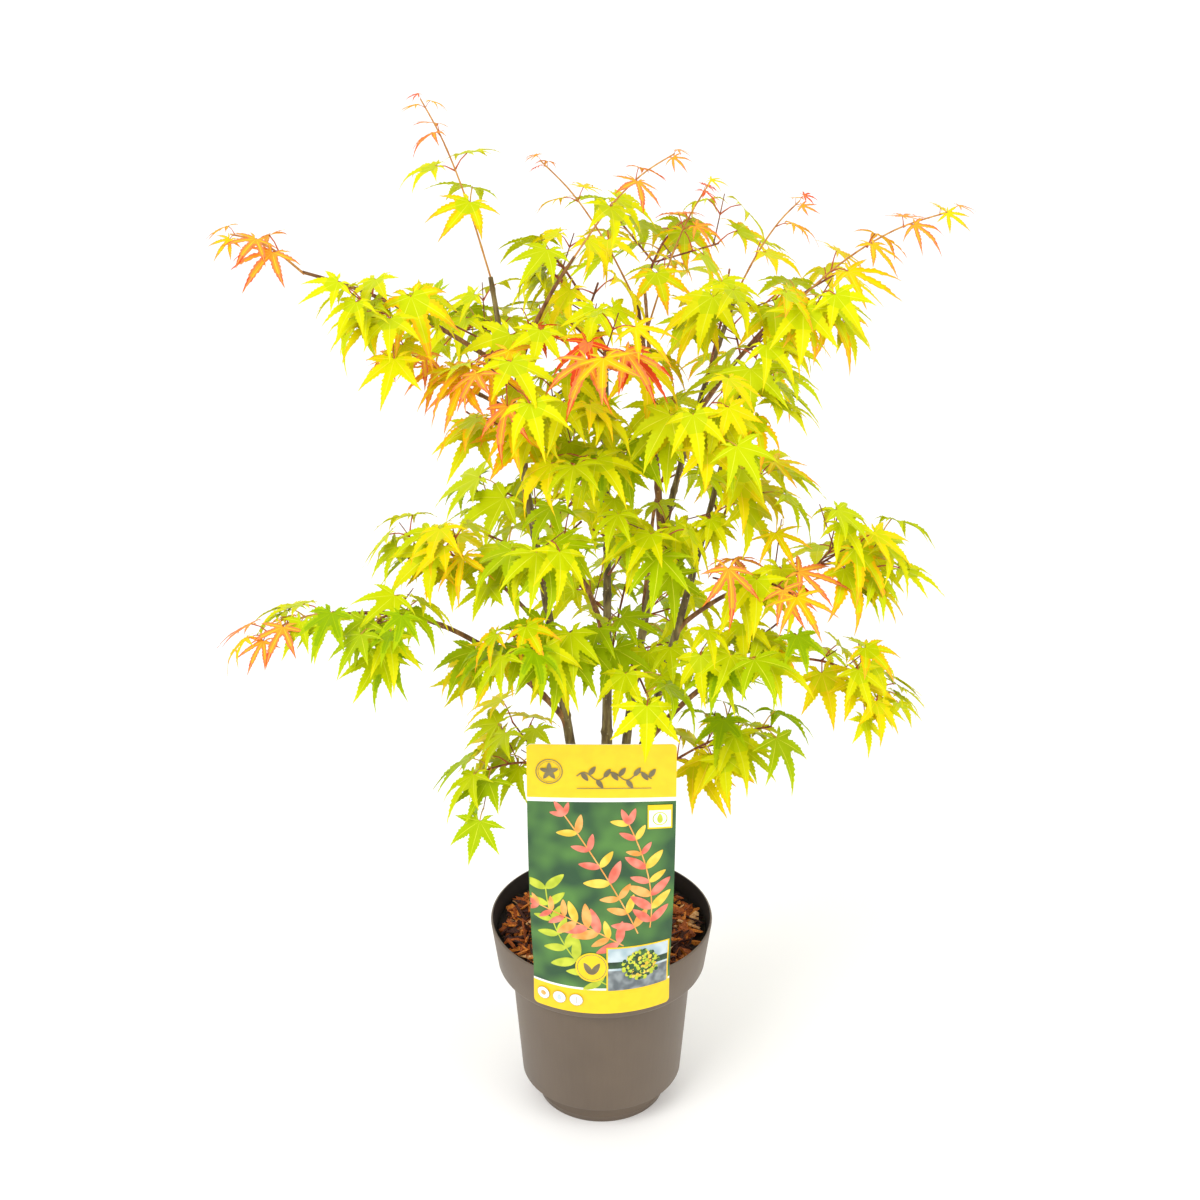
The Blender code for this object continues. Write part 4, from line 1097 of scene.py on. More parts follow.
class Form:
    """One shape of a blade whose middle lobe is a metre long, with the zone of each face."""

    VEIN, HEART, INNER, EDGE, TIP = range(5)

    def __init__(self, rng, notches, widths):
        self.points, self.faces, self.zones = [Vector((0, 0, 0))], [], []
        fullness = rng.uniform(*FORM_FULLNESS)
        self.widths = [(t, width * fullness) for t, width in widths]
        cut = rng.uniform(*FORM_CUT)
        rims = []
        for (first, _), (second, _), share in zip(BLADE_LOBES, BLADE_LOBES[1:], notches):
            turn = math.radians((first + second) / 2 + rng.uniform(-NOTCH_TURN, NOTCH_TURN))
            reach = share * cut * rng.uniform(*NOTCH_REACH)
            rims.append(self.add(reach * math.cos(turn), reach * math.sin(turn), NOTCH_RISE))
        back, aside = BLADE_BASE
        rims = [self.add(back, -aside, 0.0), *rims, self.add(back, aside, 0.0)]
        sag = rng.uniform(*LOBE_SAG)
        for number, (angle, share) in enumerate(BLADE_LOBES):
            turn = math.radians(angle + rng.uniform(-LOBE_TURN, LOBE_TURN))
            length = share * rng.uniform(*LOBE_REACH)
            sickle = rng.uniform(-LOBE_SICKLE, LOBE_SICKLE)
            self.add_lobe(turn, length, sickle, sag, TEETH[number], rims[number], rims[number + 1], rng)

    def add(self, x, y, rise):
        reach = math.hypot(x, y)
        self.points.append(Vector((x, y, blade_drop(reach) + rise)))
        return len(self.points) - 1

    def between(self, first, second, share):
        """A point of the blade between two others."""
        self.points.append(self.points[first].lerp(self.points[second], share))
        return len(self.points) - 1

    def add_lobe(self, turn, length, sickle, sag, teeth, right, left, rng):
        """One lobe from its two notches to its tip: two toothed halves and the vein between them."""
        start = sum(self.points[rim].xy.length for rim in (right, left)) / 2 / length
        start = max(start * LOBE_START[0], LOBE_START[1])

        def place(t, across, rise):
            along = t * length
            aside = across * length + sickle * length * max(t - start, 0) ** 2
            x = along * math.cos(turn) - aside * math.sin(turn)
            y = along * math.sin(turn) + aside * math.cos(turn)
            return self.add(x, y, rise - sag * length * max(t - SAG_FROM, 0) ** 2)

        def row(edges, t):
            """Six points across the lobe: rim, inner line, both sides of the vein, inner line and rim."""
            vein = VEIN_WIDTH / length * (1 - VEIN_TAPER * t)
            veins = [place(t, -vein, 0), place(t, vein, 0)]
            inner = [self.between(vein, rim, INNER_SHARE) for vein, rim in zip(veins, edges)]
            return [edges[0], inner[0], *veins, inner[1], edges[1]]

        first = row([right, left], start)
        rows = [first]
        for number, (a, b) in enumerate(zip(first, first[1:])):
            self.add_face((0, a, b), self.VEIN if number == 2 else self.HEART)
        step = (LAST_TOOTH - start) / teeth
        for k in range(teeth):
            stations = [(start + step * (k + TOOTH_FOOT), 1 - TOOTH_DEPTH)] if k else []
            tooth = 1 + TOOTH_DEPTH * rng.uniform(*TOOTH_DEPTHS)
            stations.append((start + step * (k + TOOTH_TIP), tooth))
            for t, flare in stations:
                width = min(lobe_width(self.widths, t) * flare, t * LOBE_SPREAD)
                lift = VALLEY * width * length + rng.uniform(-CRINKLE, CRINKLE)
                rows.append(row([place(t, -width, lift), place(t, width, lift)], t))
        tip = place(1.0, 0, 0)
        last = len(rows)
        for k, (near, far) in enumerate(zip(rows, rows[1:] + [[tip] * 6])):
            edge = self.TIP if k > last * RIM_TIP else self.EDGE
            inner = self.EDGE if k > last * INNER_EDGE else self.INNER
            inner = self.TIP if k > last * INNER_TIP else inner
            for a, zone in enumerate((edge, inner, self.VEIN, inner, edge)):
                self.add_face(tuple(dict.fromkeys((near[a], far[a], far[a + 1], near[a + 1]))), zone)

    def add_face(self, corners, zone):
        self.faces.append(corners)
        self.zones.append(zone)


# Autumn tints, each a plain colour of a waxy blade. A leaf takes one for each zone.
LEAF_TINTS = {
    "pale_vein": "#DADC3C",
    "gold_vein": "#F6D43A",
    "deep_green": "#8BAA00",
    "green": "#A6BC00",
    "lime": "#BECA00",
    "lime_yellow": "#D2D200",
    "yellow": "#E2D000",
    "gold": "#EEBC06",
    "orange": "#F0A02C",
    "coral": "#E87C48",
    "red_orange": "#DA4A20",
}
# Zones in order: vein, heart, inner strip, edge and tip.
SCHEMES = {
    "deep": ("green", "deep_green", "deep_green", "green", "green"),
    "green": ("pale_vein", "green", "green", "green", "lime"),
    "lime": ("pale_vein", "lime", "lime", "lime", "lime_yellow"),
    "lime_yellow": ("pale_vein", "lime", "lime_yellow", "lime_yellow", "yellow"),
    "flushed": ("pale_vein", "lime", "lime_yellow", "gold", "orange"),
    "yellow": ("gold_vein", "lime_yellow", "yellow", "yellow", "gold"),
    "gold": ("gold_vein", "yellow", "yellow", "gold", "orange"),
    "orange": ("gold_vein", "gold", "gold", "orange", "coral"),
    "coral": ("gold_vein", "orange", "orange", "coral", "red_orange"),
    "red": ("orange", "coral", "red_orange", "red_orange", "red_orange"),
}
PALETTES = {
    "lime": {"deep": 10, "green": 24, "lime": 34, "lime_yellow": 24, "flushed": 4, "yellow": 4},
    "sunlit": {"green": 6, "lime": 28, "lime_yellow": 36, "flushed": 12, "yellow": 18},
    "yellow": {"lime": 28, "lime_yellow": 38, "yellow": 18, "flushed": 10, "gold": 6},
    "gold": {"lime": 20, "lime_yellow": 34, "yellow": 20, "gold": 10, "orange": 4, "flushed": 12},
    "coral": {"coral": 26, "orange": 16, "gold": 12, "red": 8, "flushed": 12, "lime_yellow": 26},
    "young": {"coral": 50, "orange": 20, "gold": 18, "red": 12},
}
SLENDER_SCHEMES = ("gold", "orange", "coral", "red")
GREENS = ("deep", "green", "lime")
TWIG_SHARE = 0.66
SAME_TINT = 0.68
YOUNG_TIP = 3
# Lime leaves above this height stand in full light and turn yellower, and a coral mass has turned only from
# this share of its stem's rise upward.
SUNLIT = 0.66
TURNED_FROM = 0.55
LEAF_NARROW = (0.84, 1.04)
LEAF_CUP = (0.6, 1.7)
STALK_ARCH = 0.05
STALK_RADII = (0.00080, 0.00050, 0.00055)
THIN_BELOW = 0.04
TWIG_FOOT = 0.0025
TWIG_STEP = 0.006
STALK_STEP = 0.008
TWIG_BUDS = 0.96
BUDS_CLOSER = 1.6
TWIG_SIDES = 8
SHOOT_SIDES = 6
STALK_SIDES = 5
# Places of the finishes in the list that the twigs of every mass share.
TWIG_BARK, SHOOT_BARK, RED_STALK, GOLD_STALK = range(4)


def leaf_materials():
    found = {}
    for tint, value in LEAF_TINTS.items():
        found[tint] = new_material("leaf_" + tint, value, 0.50, IOR=1.36, Specular_IOR_Level=0.12)[0]
    return found


def scheme_for(rng, tint):
    return rng.choices(list(PALETTES[tint]), PALETTES[tint].values())[0]


def palette_of(mass, stem, spray):
    """The palette of one spray, by its light."""
    if mass.tint == "lime" and mass.tip[2] > SUNLIT:
        return "sunlit"
    if mass.tint != "coral" or mass.loss >= YOUNG:
        return mass.tint
    foot, head = stem.points[0].z, stem.points[-1].z
    heights = [leaf.root.z for leaf in spray.leaves if leaf]
    turned = heights and max(heights) >= foot + TURNED_FROM * (head - foot)
    return "coral" if turned else "gold"


def add_blade(skin, leaf, form, scheme, numbers, rng):
    """One blade in its own proportions: a little narrower or fuller, and flatter or more cupped."""
    start = len(skin.points)
    narrow, cup = rng.uniform(*LEAF_NARROW), rng.uniform(*LEAF_CUP)
    for point in form.points:
        skin.points.append(leaf.frame @ (Vector((point.x, point.y * narrow, point.z * cup)) * leaf.size))
    for corners, zone in zip(form.faces, form.zones):
        skin.faces.append(tuple(start + corner for corner in corners))
        skin.tints.append(numbers[SCHEMES[scheme][zone]])


def stalk_path(leaf):
    joint = leaf.frame.translation
    middle = (leaf.root + joint) / 2 + UP * STALK_ARCH * leaf.size
    thin = min(1, leaf.size / THIN_BELOW)
    return Path([leaf.root, middle, joint], [radius * thin for radius in STALK_RADII])


def twig_relief(spot, run, turn):
    return 1 + TWIG_BUDS * bud_swell(run * BUDS_CLOSER)


def add_twig(skin, path, sides, tint):
    slim = Path(path.points, [radius * TWIG_SHARE for radius in path.radii])
    add_tube(skin, smoothed(slim, TWIG_STEP), sides, twig_relief, tint)


def dress_mass(mass, stem, sprays, forms, tints, twig_bark):
    """The twigs and the blades of one mass, as one piece each, in place of its solid."""
    rng = random.Random(mass.name + " dress")
    twigs, blades = Skin([], [], []), Skin([], [], [])
    numbers = {name: number for number, name in enumerate(tints)}
    young = mass.loss >= YOUNG
    foot = stem.points[0] - (stem.points[1] - stem.points[0]).normalized() * TWIG_FOOT
    whole = Path([foot] + stem.points, [stem.radii[0]] + stem.radii)
    add_twig(twigs, whole, TWIG_SIDES, SHOOT_BARK if young else TWIG_BARK)
    for number, spray in enumerate(sprays):
        tip = young and number >= len(sprays) - YOUNG_TIP
        tint = "young" if tip else palette_of(mass, stem, spray)
        scheme = scheme_for(rng, tint)
        if spray.shoot:
            add_twig(twigs, spray.shoot, SHOOT_SIDES, TWIG_BARK)
        for leaf in filter(None, spray.leaves):
            chosen = scheme if rng.random() < SAME_TINT else scheme_for(rng, tint)
            stalk = smoothed(stalk_path(leaf), STALK_STEP)
            add_tube(twigs, stalk, STALK_SIDES, tint=GOLD_STALK if chosen in GREENS else RED_STALK)
            form = rng.choice(forms[chosen in SLENDER_SCHEMES])
            add_blade(blades, leaf, form, chosen, numbers, rng)
    twigs_name, blades_name = mass.name + "_twigs", mass.name + "_blades"
    add_piece(twigs_name, mesh_of(twigs_name, twigs), twig_bark, "bark", mass.name)
    add_piece(blades_name, mesh_of(blades_name, blades), tints.values(), mass.tint + "_leaf", mass.name)


def grow_crown(paths):
    stems = {mass.name: mass_stem(mass, paths) for mass in MASSES}
    grown = [piece for path in paths.values() for piece in path_pieces(path)]
    rooms = {}
    sprays = {}
    for mass in MASSES:
        rooms[mass.name] = Room(mass, stems, list(paths.values()), grown)
        sprays[mass.name] = grow(mass, stems[mass.name], rooms[mass.name])
    for mass in MASSES:
        sprays[mass.name] += grow_finer(mass, rooms[mass.name])
    tints = leaf_materials()
    twig_bark = [
        maple_bark("twig_bark", "#5E2A12", "#7E421E", "#9A5A2E", "#B8804E"),
        maple_bark("shoot_bark", "#A4622C", "#BC8238", "#CC9A4A", "#D8B070"),
        new_material("stalk_red", "#B8562C", 0.5, IOR=1.42)[0],
        new_material("stalk_gold", "#C99A34", 0.5, IOR=1.42)[0],
    ]
    rng = random.Random("blade forms")
    kinds = ((BROAD_NOTCHES, BROAD_WIDTHS), (SLENDER_NOTCHES, SLENDER_WIDTHS))
    forms = [[Form(rng, *kind) for _ in range(FORMS)] for kind in kinds]
    for mass in MASSES:
        dress_mass(mass, stems[mass.name], sprays[mass.name], forms, tints, twig_bark)


grow_crown(wood)

# Plant card.
# Coated board, offset printed on its front and plain white behind, with rounded corners. It is bent round
# the collar and held by a tongue over the rim. The print is a generic planting picture with no wording.

CARD_BEND = POT_HEIGHT + 0.004
CARD_THICKNESS = 0.0008
CARD_CORNER = 0.004
FLATTEST = 0.5
TONGUE_WIDTH = 0.020
TONGUE_REACH = 0.0068
TONGUE_DROP = 0.0105
TONGUE_FOLD = 0.0012
TONGUE_TAPER = 0.0015
CORNER_STEPS = 5
CARD_COLUMNS = 40
CARD_UNBENDS = 1.5
# The bands of the front, from the foot: the height where each ends, its ink and its rows of faces.
CARD_BANDS = (
    (0.1705, "print_yellow", 10),
    (0.1725, "print_white", 1),
    (0.3420, "print_green", 56),
    (0.3455, "print_white", 1),
    (CARD_HEAD, "print_yellow", 18),
)
# The print lies this far in front of the board, and each motif a little in front of the one before it.
INK_LIFT = 0.00010
MOTIF_LIFT = INK_LIFT / 40
PANEL_LIFT = INK_LIFT / 5
PRINT_MARGIN = 0.0006
PRINT_INKS = {
    "print_white": ("#F2F1EA", "#FAFAF6"),
    "print_yellow": ("#F0C600", "#F4CC02"),
    "print_lime": ("#A9B81E", "#C6D036"),
    "print_green": ("#1E4A26", "#4E7F34"),
    "print_deep": ("#16331B", "#2A4F28"),
    "print_coral": ("#D4604A", "#EA8A74"),
    "print_orange": ("#DE9038", "#F0B060"),
    "print_gold": ("#DDB52E", "#F0D050"),
    "print_taupe": ("#6B6040", "#7C7150"),
    "print_sky": ("#9DB4BC", "#C4D2D6"),
    "print_paving": ("#5C6468", "#8E9698"),
}
INK_BLUR = {"print_green": 26.0, "print_paving": 7.0, "print_sky": 12.0}
PLAIN_BLUR = 9.0
BOARD_GRAIN = 0.35

# Middles of the motifs, across and up, and the curves of the four stems. The first stem is out of focus.
BUSH = (0.033, 0.1925)
BUSH_RADIUS = 0.0135
BUSH_BREADTH = 1.15
BUSH_SHADE = 0.0128
BUSH_LEAVES = 170
BUSH_LEAF = (0.0010, 0.0020)
BUSH_INKS = ("print_deep", "print_green", "print_lime", "print_lime", "print_gold")
INSET_PANELS = (
    ("print_yellow", (0.031, 0.190), 0.054, 0.042),
    ("print_sky", (0.031, 0.1995), 0.0515, 0.0205),
    ("print_paving", (0.031, 0.1798), 0.0515, 0.0194),
    ("print_deep", (0.031, 0.1945), 0.0515, 0.0060),
)
BADGE = (-0.0080, 0.1930)
SQUARE = (0.0470, 0.3268)
SEAL = (-0.0420, 0.3690)
SIGNS_UP = 0.1600
SIGN_RADIUS = 0.0056
STEMS = (
    ((0.006, 0.175), (-0.042, 0.205), (-0.046, 0.262)),
    ((0.030, 0.222), (0.010, 0.270), (-0.030, 0.330)),
    ((0.018, 0.212), (-0.010, 0.232), (-0.052, 0.246)),
    ((0.040, 0.226), (0.046, 0.270), (0.022, 0.322)),
)
STEM_INKS = ("print_coral", "print_coral", "print_orange", "print_gold")
STEM_LINE = 0.0011
STEM_LEAF = (0.016, 0.024)
STEM_LEAF_SHARES = (1.1, 0.4)
STEM_LEAF_TURN = (0.7, 1.15)
STEM_LEAF_WIDTH = 0.36
STEM_TIP_LEAF = (0.015, 0.0055)
OVAL_SIDES = 24
OVAL_POINT = 0.35
OVAL_TAPER = 0.25
RING_SIDES = 40


def card_point(across, height, lift=0.0):
    """A point of the card's middle sheet, or the lift in front of it."""
    rise = max(0.0, (height - CARD_BEND) / (CARD_HEAD - CARD_BEND))
    bend = max((1 - rise) ** CARD_UNBENDS / CARD_ROUND, FLATTEST)
    y = -CARD_ROUND + CARD_LEAN * rise + (1 - math.cos(across * bend)) / bend
    front = Vector((math.sin(across * bend), -math.cos(across * bend), 0))
    return Vector((math.sin(across * bend) / bend, y, height)) + front * lift


def print_ink(name):
    """Offset ink under a thin gloss coat, IOR 1.5, on board whose fibres show as a very fine mottle."""
    dark, light = PRINT_INKS[name]
    material, tree, shader = new_material(name, light, 0.34, IOR=1.5)
    place = add_node(tree, "ShaderNodeTexCoord").outputs["Object"]
    cloud, fibre = (
        add_node(tree, "ShaderNodeTexNoise", {"Vector": place, "Scale": per_metre(size), "Detail": detail})
        for size, detail in ((INK_BLUR.get(name, PLAIN_BLUR), 1.0), (BOARD_GRAIN, 2.0))
    )
    tone = add_node(tree, "ShaderNodeValToRGB", {"Fac": cloud}, ((0.36, dark), (0.64, light)))
    relief = add_node(tree, "ShaderNodeBump", {"Height": fibre, "Strength": 0.12, "Distance": 0.0001})
    set_inputs(tree, shader, {"Base Color": tone, "Normal": relief})
    return material


def corner_steps(low, high, corner, count):
    """Grid lines from low to high, close together within a corner's radius of each end."""
    near = [corner * i / CORNER_STEPS for i in range(CORNER_STEPS)]
    middle = [low + corner + (high - low - 2 * corner) * i / count for i in range(count + 1)]
    return [low + step for step in near] + middle + [high - step for step in near[::-1]]


def rounded(across, height):
    """The grid point moved in so that the grid's corners are round."""
    side = max(abs(across) - (CARD_WIDTH / 2 - CARD_CORNER), 0) * (1 if across > 0 else -1)
    up = max(height - (CARD_HEAD - CARD_CORNER), 0) - max(CARD_FOOT + CARD_CORNER - height, 0)
    length = math.hypot(side, up)
    if not length:
        return across, height
    keep = max(abs(side), abs(up)) / length
    return across - side * (1 - keep), height - up * (1 - keep)


def board_mesh(inks):
    """The board: a printed front, a white back, and a white cut edge all round."""
    columns = corner_steps(-CARD_WIDTH / 2, CARD_WIDTH / 2, CARD_CORNER, CARD_COLUMNS)
    corner = [CARD_CORNER * i / CORNER_STEPS for i in range(CORNER_STEPS + 1)]
    heights = [CARD_FOOT + step for step in corner[:-1]]
    low = CARD_FOOT + CARD_CORNER
    for high, _, count in CARD_BANDS:
        top = high - CARD_CORNER if high == CARD_HEAD else high
        heights += [low + (top - low) * i / count for i in range(count)]
        low = top
    heights += [CARD_HEAD - step for step in corner[::-1]]
    skin = Skin([], [], [])
    for lift in (CARD_THICKNESS / 2, -CARD_THICKNESS / 2):
        for height in heights:
            skin.points.extend(card_point(*rounded(across, height), lift) for across in columns)
    width, rows = len(columns), len(heights)
    back = width * rows
    white = inks.index("print_white")
    for j, (low, high) in enumerate(zip(heights, heights[1:])):
        ink = next(ink for end, ink, _ in CARD_BANDS if (low + high) / 2 < end)
        for i in range(width - 1):
            a, b = j * width + i, j * width + i + 1
            skin.faces.append((a, b, b + width, a + width))
            paint(skin, inks.index(ink))
            skin.faces.append((back + a, back + a + width, back + b + width, back + b))
            paint(skin, white)
    rim = [*range(width), *range(2 * width - 1, back, width)]
    rim += [*range(back - 2, back - width - 1, -1), *range(back - 2 * width, 0, -width)]
    skin.faces.extend((b, a, back + a, back + b) for a, b in zip(rim, rim[1:] + rim[:1]))
    paint(skin, white)
    mesh = mesh_of("card_board", skin)
    mesh.set_sharp_from_angle(angle=SHARPEST_SMOOTH)
    return mesh


def strip_mesh(name, route, halves):
    """A sheet one face wide that follows a route up and back, with its half width at each step."""
    shape = bmesh.new()
    rows = [[shape.verts.new((x, y, z)) for x in (-half, half)] for (y, z), half in zip(route, halves)]
    for (a, b), (c, d) in zip(rows, rows[1:]):
        shape.faces.new((a, b, d, c))
    return mesh_from(name, shape)


def tongue_mesh():
    """The tongue, folded back over the rim and down inside it."""
    rest = POT_HEIGHT + GAP + CARD_THICKNESS / 2
    front, back = -CARD_ROUND, -CARD_ROUND + TONGUE_REACH
    fold = TONGUE_FOLD / 3
    route = [(front, rest), (back - TONGUE_FOLD, rest), (back - fold, rest - fold)]
    route += [(back, rest - TONGUE_FOLD), (back, rest - TONGUE_DROP)]
    halves = [TONGUE_WIDTH / 2] * (len(route) - 1) + [TONGUE_WIDTH / 2 - TONGUE_TAPER]
    strip = put_in_scene("card_tongue", strip_mesh("card_tongue", route, halves))
    board = strip.modifiers.new("board", "SOLIDIFY")
    board.thickness = CARD_THICKNESS
    board.offset = 0
    return finished(strip)


class Print:
    """Motifs laid on the front of the card, each a little in front of the one before it."""

    def __init__(self, inks):
        self.inks = inks
        self.skin = Skin([], [], [])
        self.lift = CARD_THICKNESS / 2

    def add_spot(self, x, y):
        """A point of the print, which is cut off at the board's edge."""
        edge = CARD_WIDTH / 2 - PRINT_MARGIN
        self.skin.points.append(card_point(max(-edge, min(edge, x)), y, self.lift + INK_LIFT))

    def outline(self, ink, centre, rim, rings=3):
        """A motif that its centre sees all of, given by its rim in metres from the centre."""
        self.lift += MOTIF_LIFT
        start = len(self.skin.points)
        self.add_spot(*centre)
        for ring in range(1, rings + 1):
            for x, y in rim:
                self.add_spot(centre[0] + x * ring / rings, centre[1] + y * ring / rings)
        count = len(rim)
        for k in range(count):
            following = (k + 1) % count
            self.skin.faces.append((start, start + 1 + k, start + 1 + following))
            for ring in range(rings - 1):
                a = start + 1 + ring * count
                self.skin.faces.append((a + k, a + count + k, a + count + following, a + following))
        paint(self.skin, self.inks.index(ink))

    def disc(self, ink, centre, radius, sides=36):
        self.outline(ink, centre, circle(radius, sides))

    def panel(self, ink, centre, width, height, steps=24):
        """A rectangle, fine enough to follow the bent board without cutting the panel below it."""
        self.lift += PANEL_LIFT
        corners = ((-1, -1), (1, -1), (1, 1), (-1, 1), (-1, -1))
        rim = []
        for (x0, y0), (x1, y1) in zip(corners, corners[1:]):
            for t in (i / steps for i in range(steps)):
                rim.append(((x0 + (x1 - x0) * t) * width / 2, (y0 + (y1 - y0) * t) * height / 2))
        self.outline(ink, centre, rim, rings=10)

    def oval_leaf(self, ink, foot, turn, length, width):
        """A pointed oval leaf from its foot, turned from straight up, in radians."""
        lean, rise = math.sin(turn), math.cos(turn)
        rim = []
        for x, y in circle(1, OVAL_SIDES):
            along = x * length / 2
            aside = y * abs(y) ** OVAL_POINT * width / 2 * (1 - OVAL_TAPER * x)
            rim.append((along * lean + aside * rise, along * rise - aside * lean))
        self.outline(ink, (foot[0] + lean * length / 2, foot[1] + rise * length / 2), rim)

    def line(self, ink, spots, width):
        """A drawn line through the spots."""
        self.lift += MOTIF_LIFT
        start = len(self.skin.points)
        for i, (x, y) in enumerate(spots):
            before, after = spots[max(i - 1, 0)], spots[min(i + 1, len(spots) - 1)]
            run = Vector((after[0] - before[0], after[1] - before[1])).normalized()
            for side in (-0.5, 0.5):
                self.add_spot(x - run.y * width * side, y + run.x * width * side)
        for i in range(len(spots) - 1):
            a = start + 2 * i
            self.skin.faces.append((a, a + 2, a + 3, a + 1))
        paint(self.skin, self.inks.index(ink))

    def ring(self, ink, centre, radius, width):
        spots = [(centre[0] + x, centre[1] + y) for x, y in circle(radius, RING_SIDES)]
        self.line(ink, spots + spots[:1], width)


def curve_spots(start, pull, end, count=16):
    shares = [i / (count - 1) for i in range(count)]
    return [
        tuple(s * (1 - t) ** 2 + p * 2 * t * (1 - t) + e * t * t for s, p, e in zip(start, pull, end))
        for t in shares
    ]


def draw_stem(art, rng, curve, blurred):
    """A stem with opposite pairs of oval leaves: lime where it is blurred, and else in autumn tints."""
    spots = curve_spots(*curve)
    full, loss = STEM_LEAF_SHARES
    art.line("print_lime" if blurred else "print_orange", spots, STEM_LINE)
    for i in range(1, len(spots), 2):
        (x0, y0), (x1, y1) = spots[i - 1 : i + 1]
        run = math.atan2(x1 - x0, y1 - y0)
        length = rng.uniform(*STEM_LEAF) * (1.0 if blurred else full - loss * i / len(spots))
        for side in (-1, 1):
            ink = "print_lime" if blurred else rng.choice(STEM_INKS)
            turn = run + side * rng.uniform(*STEM_LEAF_TURN)
            art.oval_leaf(ink, spots[i], turn, length, length * STEM_LEAF_WIDTH)
    if not blurred:
        art.oval_leaf("print_coral", spots[-1], run, *STEM_TIP_LEAF)


def draw_inset(art, rng):
    """A round bush on paving, in the lower right corner, with a round badge of two leaves beside it."""
    for panel in INSET_PANELS:
        art.panel(*panel)
    art.disc("print_deep", BUSH, BUSH_SHADE)
    for _ in range(BUSH_LEAVES):
        turn, reach = rng.uniform(0, math.tau), BUSH_RADIUS * math.sqrt(rng.random())
        spot = (BUSH[0] + reach * math.cos(turn) * BUSH_BREADTH, BUSH[1] + reach * math.sin(turn))
        ink = rng.choice(BUSH_INKS)
        art.disc(ink, spot, rng.uniform(*BUSH_LEAF), sides=9)
    art.disc("print_yellow", BADGE, 0.0135)
    art.ring("print_taupe", BADGE, 0.0118, 0.0005)
    for side in (-1, 1):
        art.oval_leaf("print_taupe", (BADGE[0], BADGE[1] - 0.0065), side * 0.55, 0.0125, 0.0052)


def draw_square(art):
    """A square in the upper right of the green, with a ring and a drop."""
    art.panel("print_yellow", (SQUARE[0], SQUARE[1] + 0.0017), 0.0200, 0.0215)
    art.panel("print_white", SQUARE, 0.0176, 0.0152)
    art.ring("print_lime", SQUARE, 0.0056, 0.0009)
    art.oval_leaf("print_lime", (SQUARE[0], SQUARE[1] - 0.0043), 0.0, 0.0090, 0.0046)


def draw_head(art):
    """A wavy sprig of small oval leaves over a line, and a seal of five leaves in two rings."""
    wave = [(-0.020 + 0.060 * i / 30, 0.3650 + 0.0035 * math.sin(i * 0.55)) for i in range(31)]
    art.line("print_taupe", wave, 0.0009)
    for i in range(2, 30, 3):
        side = 1 if (i // 3) % 2 else -1
        art.oval_leaf("print_taupe", wave[i], math.pi / 2 - side * 0.95, 0.0088, 0.0040)
    for radius, width in ((0.0105, 0.0007), (0.0088, 0.0003)):
        art.ring("print_taupe", SEAL, radius, width)
    for turn in range(5):
        art.oval_leaf("print_taupe", SEAL, math.tau * turn / 5, 0.0078, 0.0036)
    art.line("print_taupe", [(-0.020 + 0.060 * i / 10, 0.3545) for i in range(11)], 0.0006)


def draw_signs(art):
    """Three white discs at the foot, each with a plain sign: sun, water and frost."""
    sun, water, frost = ((across, SIGNS_UP) for across in (-0.0500, -0.0355, -0.0210))
    for centre in (sun, water, frost):
        art.disc("print_white", centre, SIGN_RADIUS)
        art.ring("print_taupe", centre, SIGN_RADIUS, 0.0003)
        if centre == sun:
            art.disc("print_orange", sun, 0.0024)
        elif centre == water:
            art.oval_leaf("print_sky", (water[0], water[1] - 0.0030), 0.0, 0.0060, 0.0036)
    for turn in (math.pi * k / 3 for k in range(3)):
        x, y = math.sin(turn) * 0.0032, math.cos(turn) * 0.0032
        art.line("print_taupe", [(frost[0] - x, frost[1] - y), (frost[0] + x, frost[1] + y)], 0.0006)


def card_print(inks):
    rng = random.Random("planting picture")
    art = Print(inks)
    for number, curve in enumerate(STEMS):
        draw_stem(art, rng, curve, blurred=number == 0)
    draw_inset(art, rng)
    draw_square(art)
    draw_head(art)
    draw_signs(art)
    return mesh_of("card_picture", art.skin)


ink_names = list(PRINT_INKS)
printed = [print_ink(name) for name in ink_names]
plain = [printed[ink_names.index("print_white")]]
add_piece("card_board", board_mesh(ink_names), printed, "printed_card", "plant_card")
add_piece("card_tongue", tongue_mesh(), plain, "printed_card", "plant_card")
add_piece("card_picture", card_print(ink_names), printed, "printed_card", "plant_card")

# Studio.
# A pale sweep that is both floor and backdrop, two large soft lights and an even white surround.

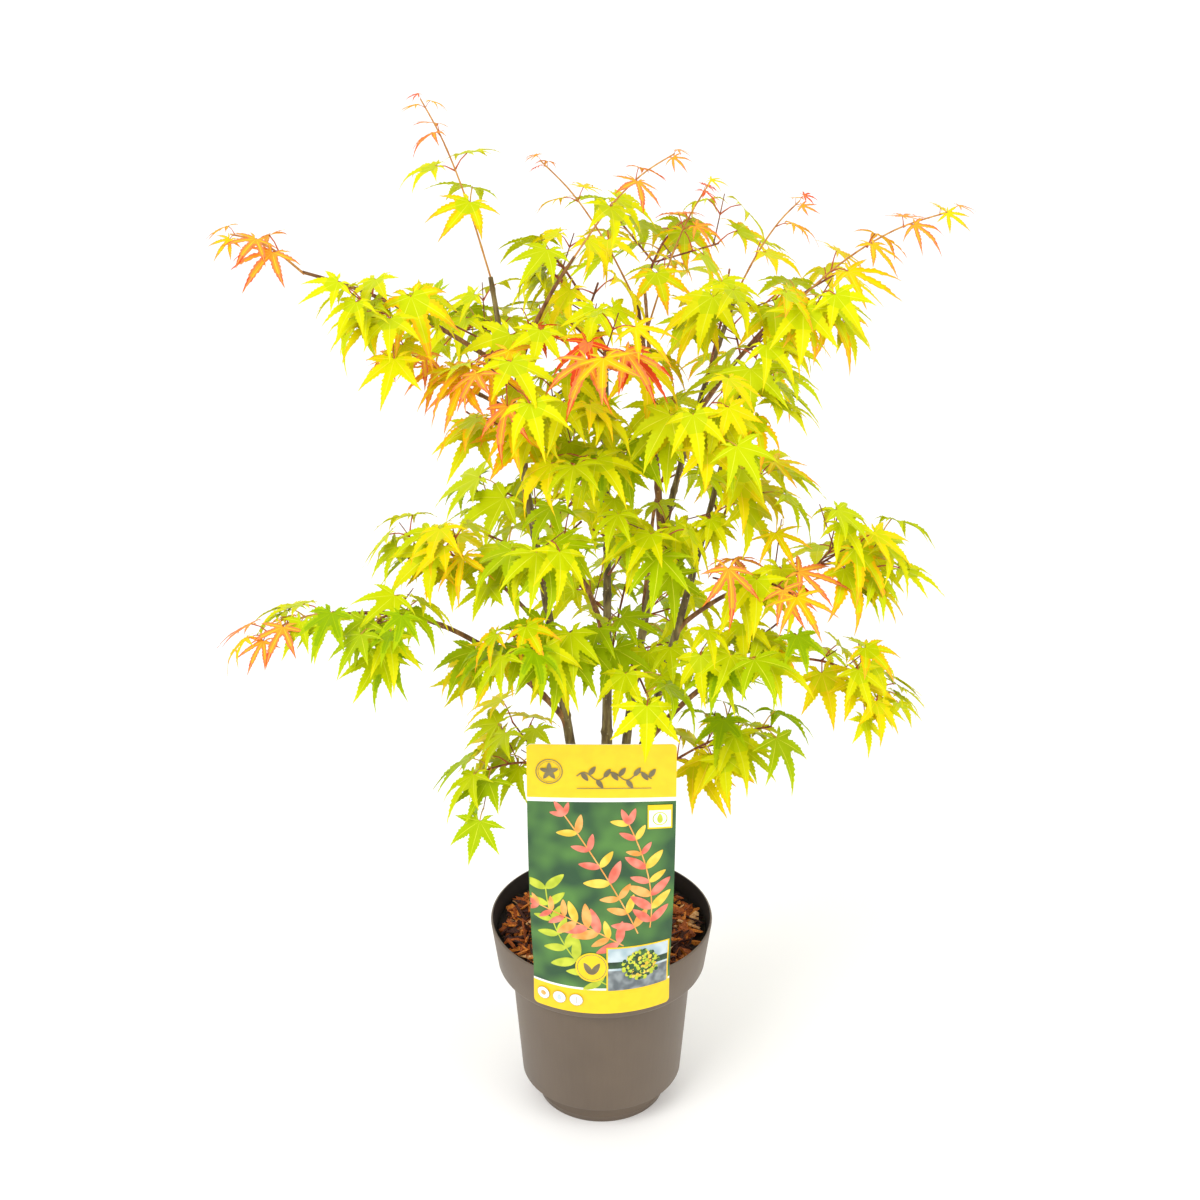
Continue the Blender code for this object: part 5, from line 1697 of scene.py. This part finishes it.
FLOOR_HALF = 4.0
FLOOR_FRONT = -6.0
SWEEP_RADIUS = 0.6
SWEEP_STEPS = 12
BACKDROP_Y = 2.6
BACKDROP_HEIGHT = 3.2
SURROUND = 0.95
LIGHT_AIM = Vector((0, 0, 0.5))
LIGHT_SIZE = 1.8
CAMERA_PLACE = (-0.0013, -1.8, 1.4079)
CAMERA_PITCH = 27.17
CAMERA_LENS = 75.43
CAMERA_SENSOR = 36.0


def add_floor():
    route = [(FLOOR_FRONT, 0.0), (BACKDROP_Y - SWEEP_RADIUS, 0.0)]
    for k in range(1, SWEEP_STEPS + 1):
        turn = math.pi / 2 * k / SWEEP_STEPS
        rise = SWEEP_RADIUS * (1 - math.cos(turn))
        route.append((BACKDROP_Y - SWEEP_RADIUS + SWEEP_RADIUS * math.sin(turn), rise))
    route.append((BACKDROP_Y, BACKDROP_HEIGHT))
    mesh = strip_mesh("studio_sweep", route, [FLOOR_HALF] * len(route))
    mesh.shade_smooth()
    mesh.materials.append(new_material("studio_paper", "#FBFAF8", 0.9)[0])
    put_in_scene("studio_sweep", mesh)


def add_light(name, place, power):
    data = bpy.data.lights.new(name, "AREA")
    data.size = LIGHT_SIZE
    data.energy = power
    light = put_in_scene(name, data)
    light.location = place
    light.rotation_euler = (LIGHT_AIM - Vector(place)).to_track_quat("-Z", "Y").to_euler()


add_floor()
world = bpy.data.worlds.new("studio_surround")
world.use_nodes = True
surround = world.node_tree.nodes["Background"]
set_inputs(world.node_tree, surround, {"Color": colour("#FFFFFF"), "Strength": SURROUND})
bpy.context.scene.world = world
add_light("key", (-1.6, -2.0, 2.6), 55)
add_light("fill", (2.2, -1.4, 1.6), 22)
bpy.context.scene.view_settings.view_transform = "Standard"

camera_data = bpy.data.cameras.new("studio_camera")
camera_data.lens = CAMERA_LENS
camera_data.sensor_width = CAMERA_SENSOR
camera = put_in_scene("studio_camera", camera_data)
camera.location = CAMERA_PLACE
camera.rotation_euler = (math.radians(90 - CAMERA_PITCH), 0, 0)
bpy.context.scene.camera = camera
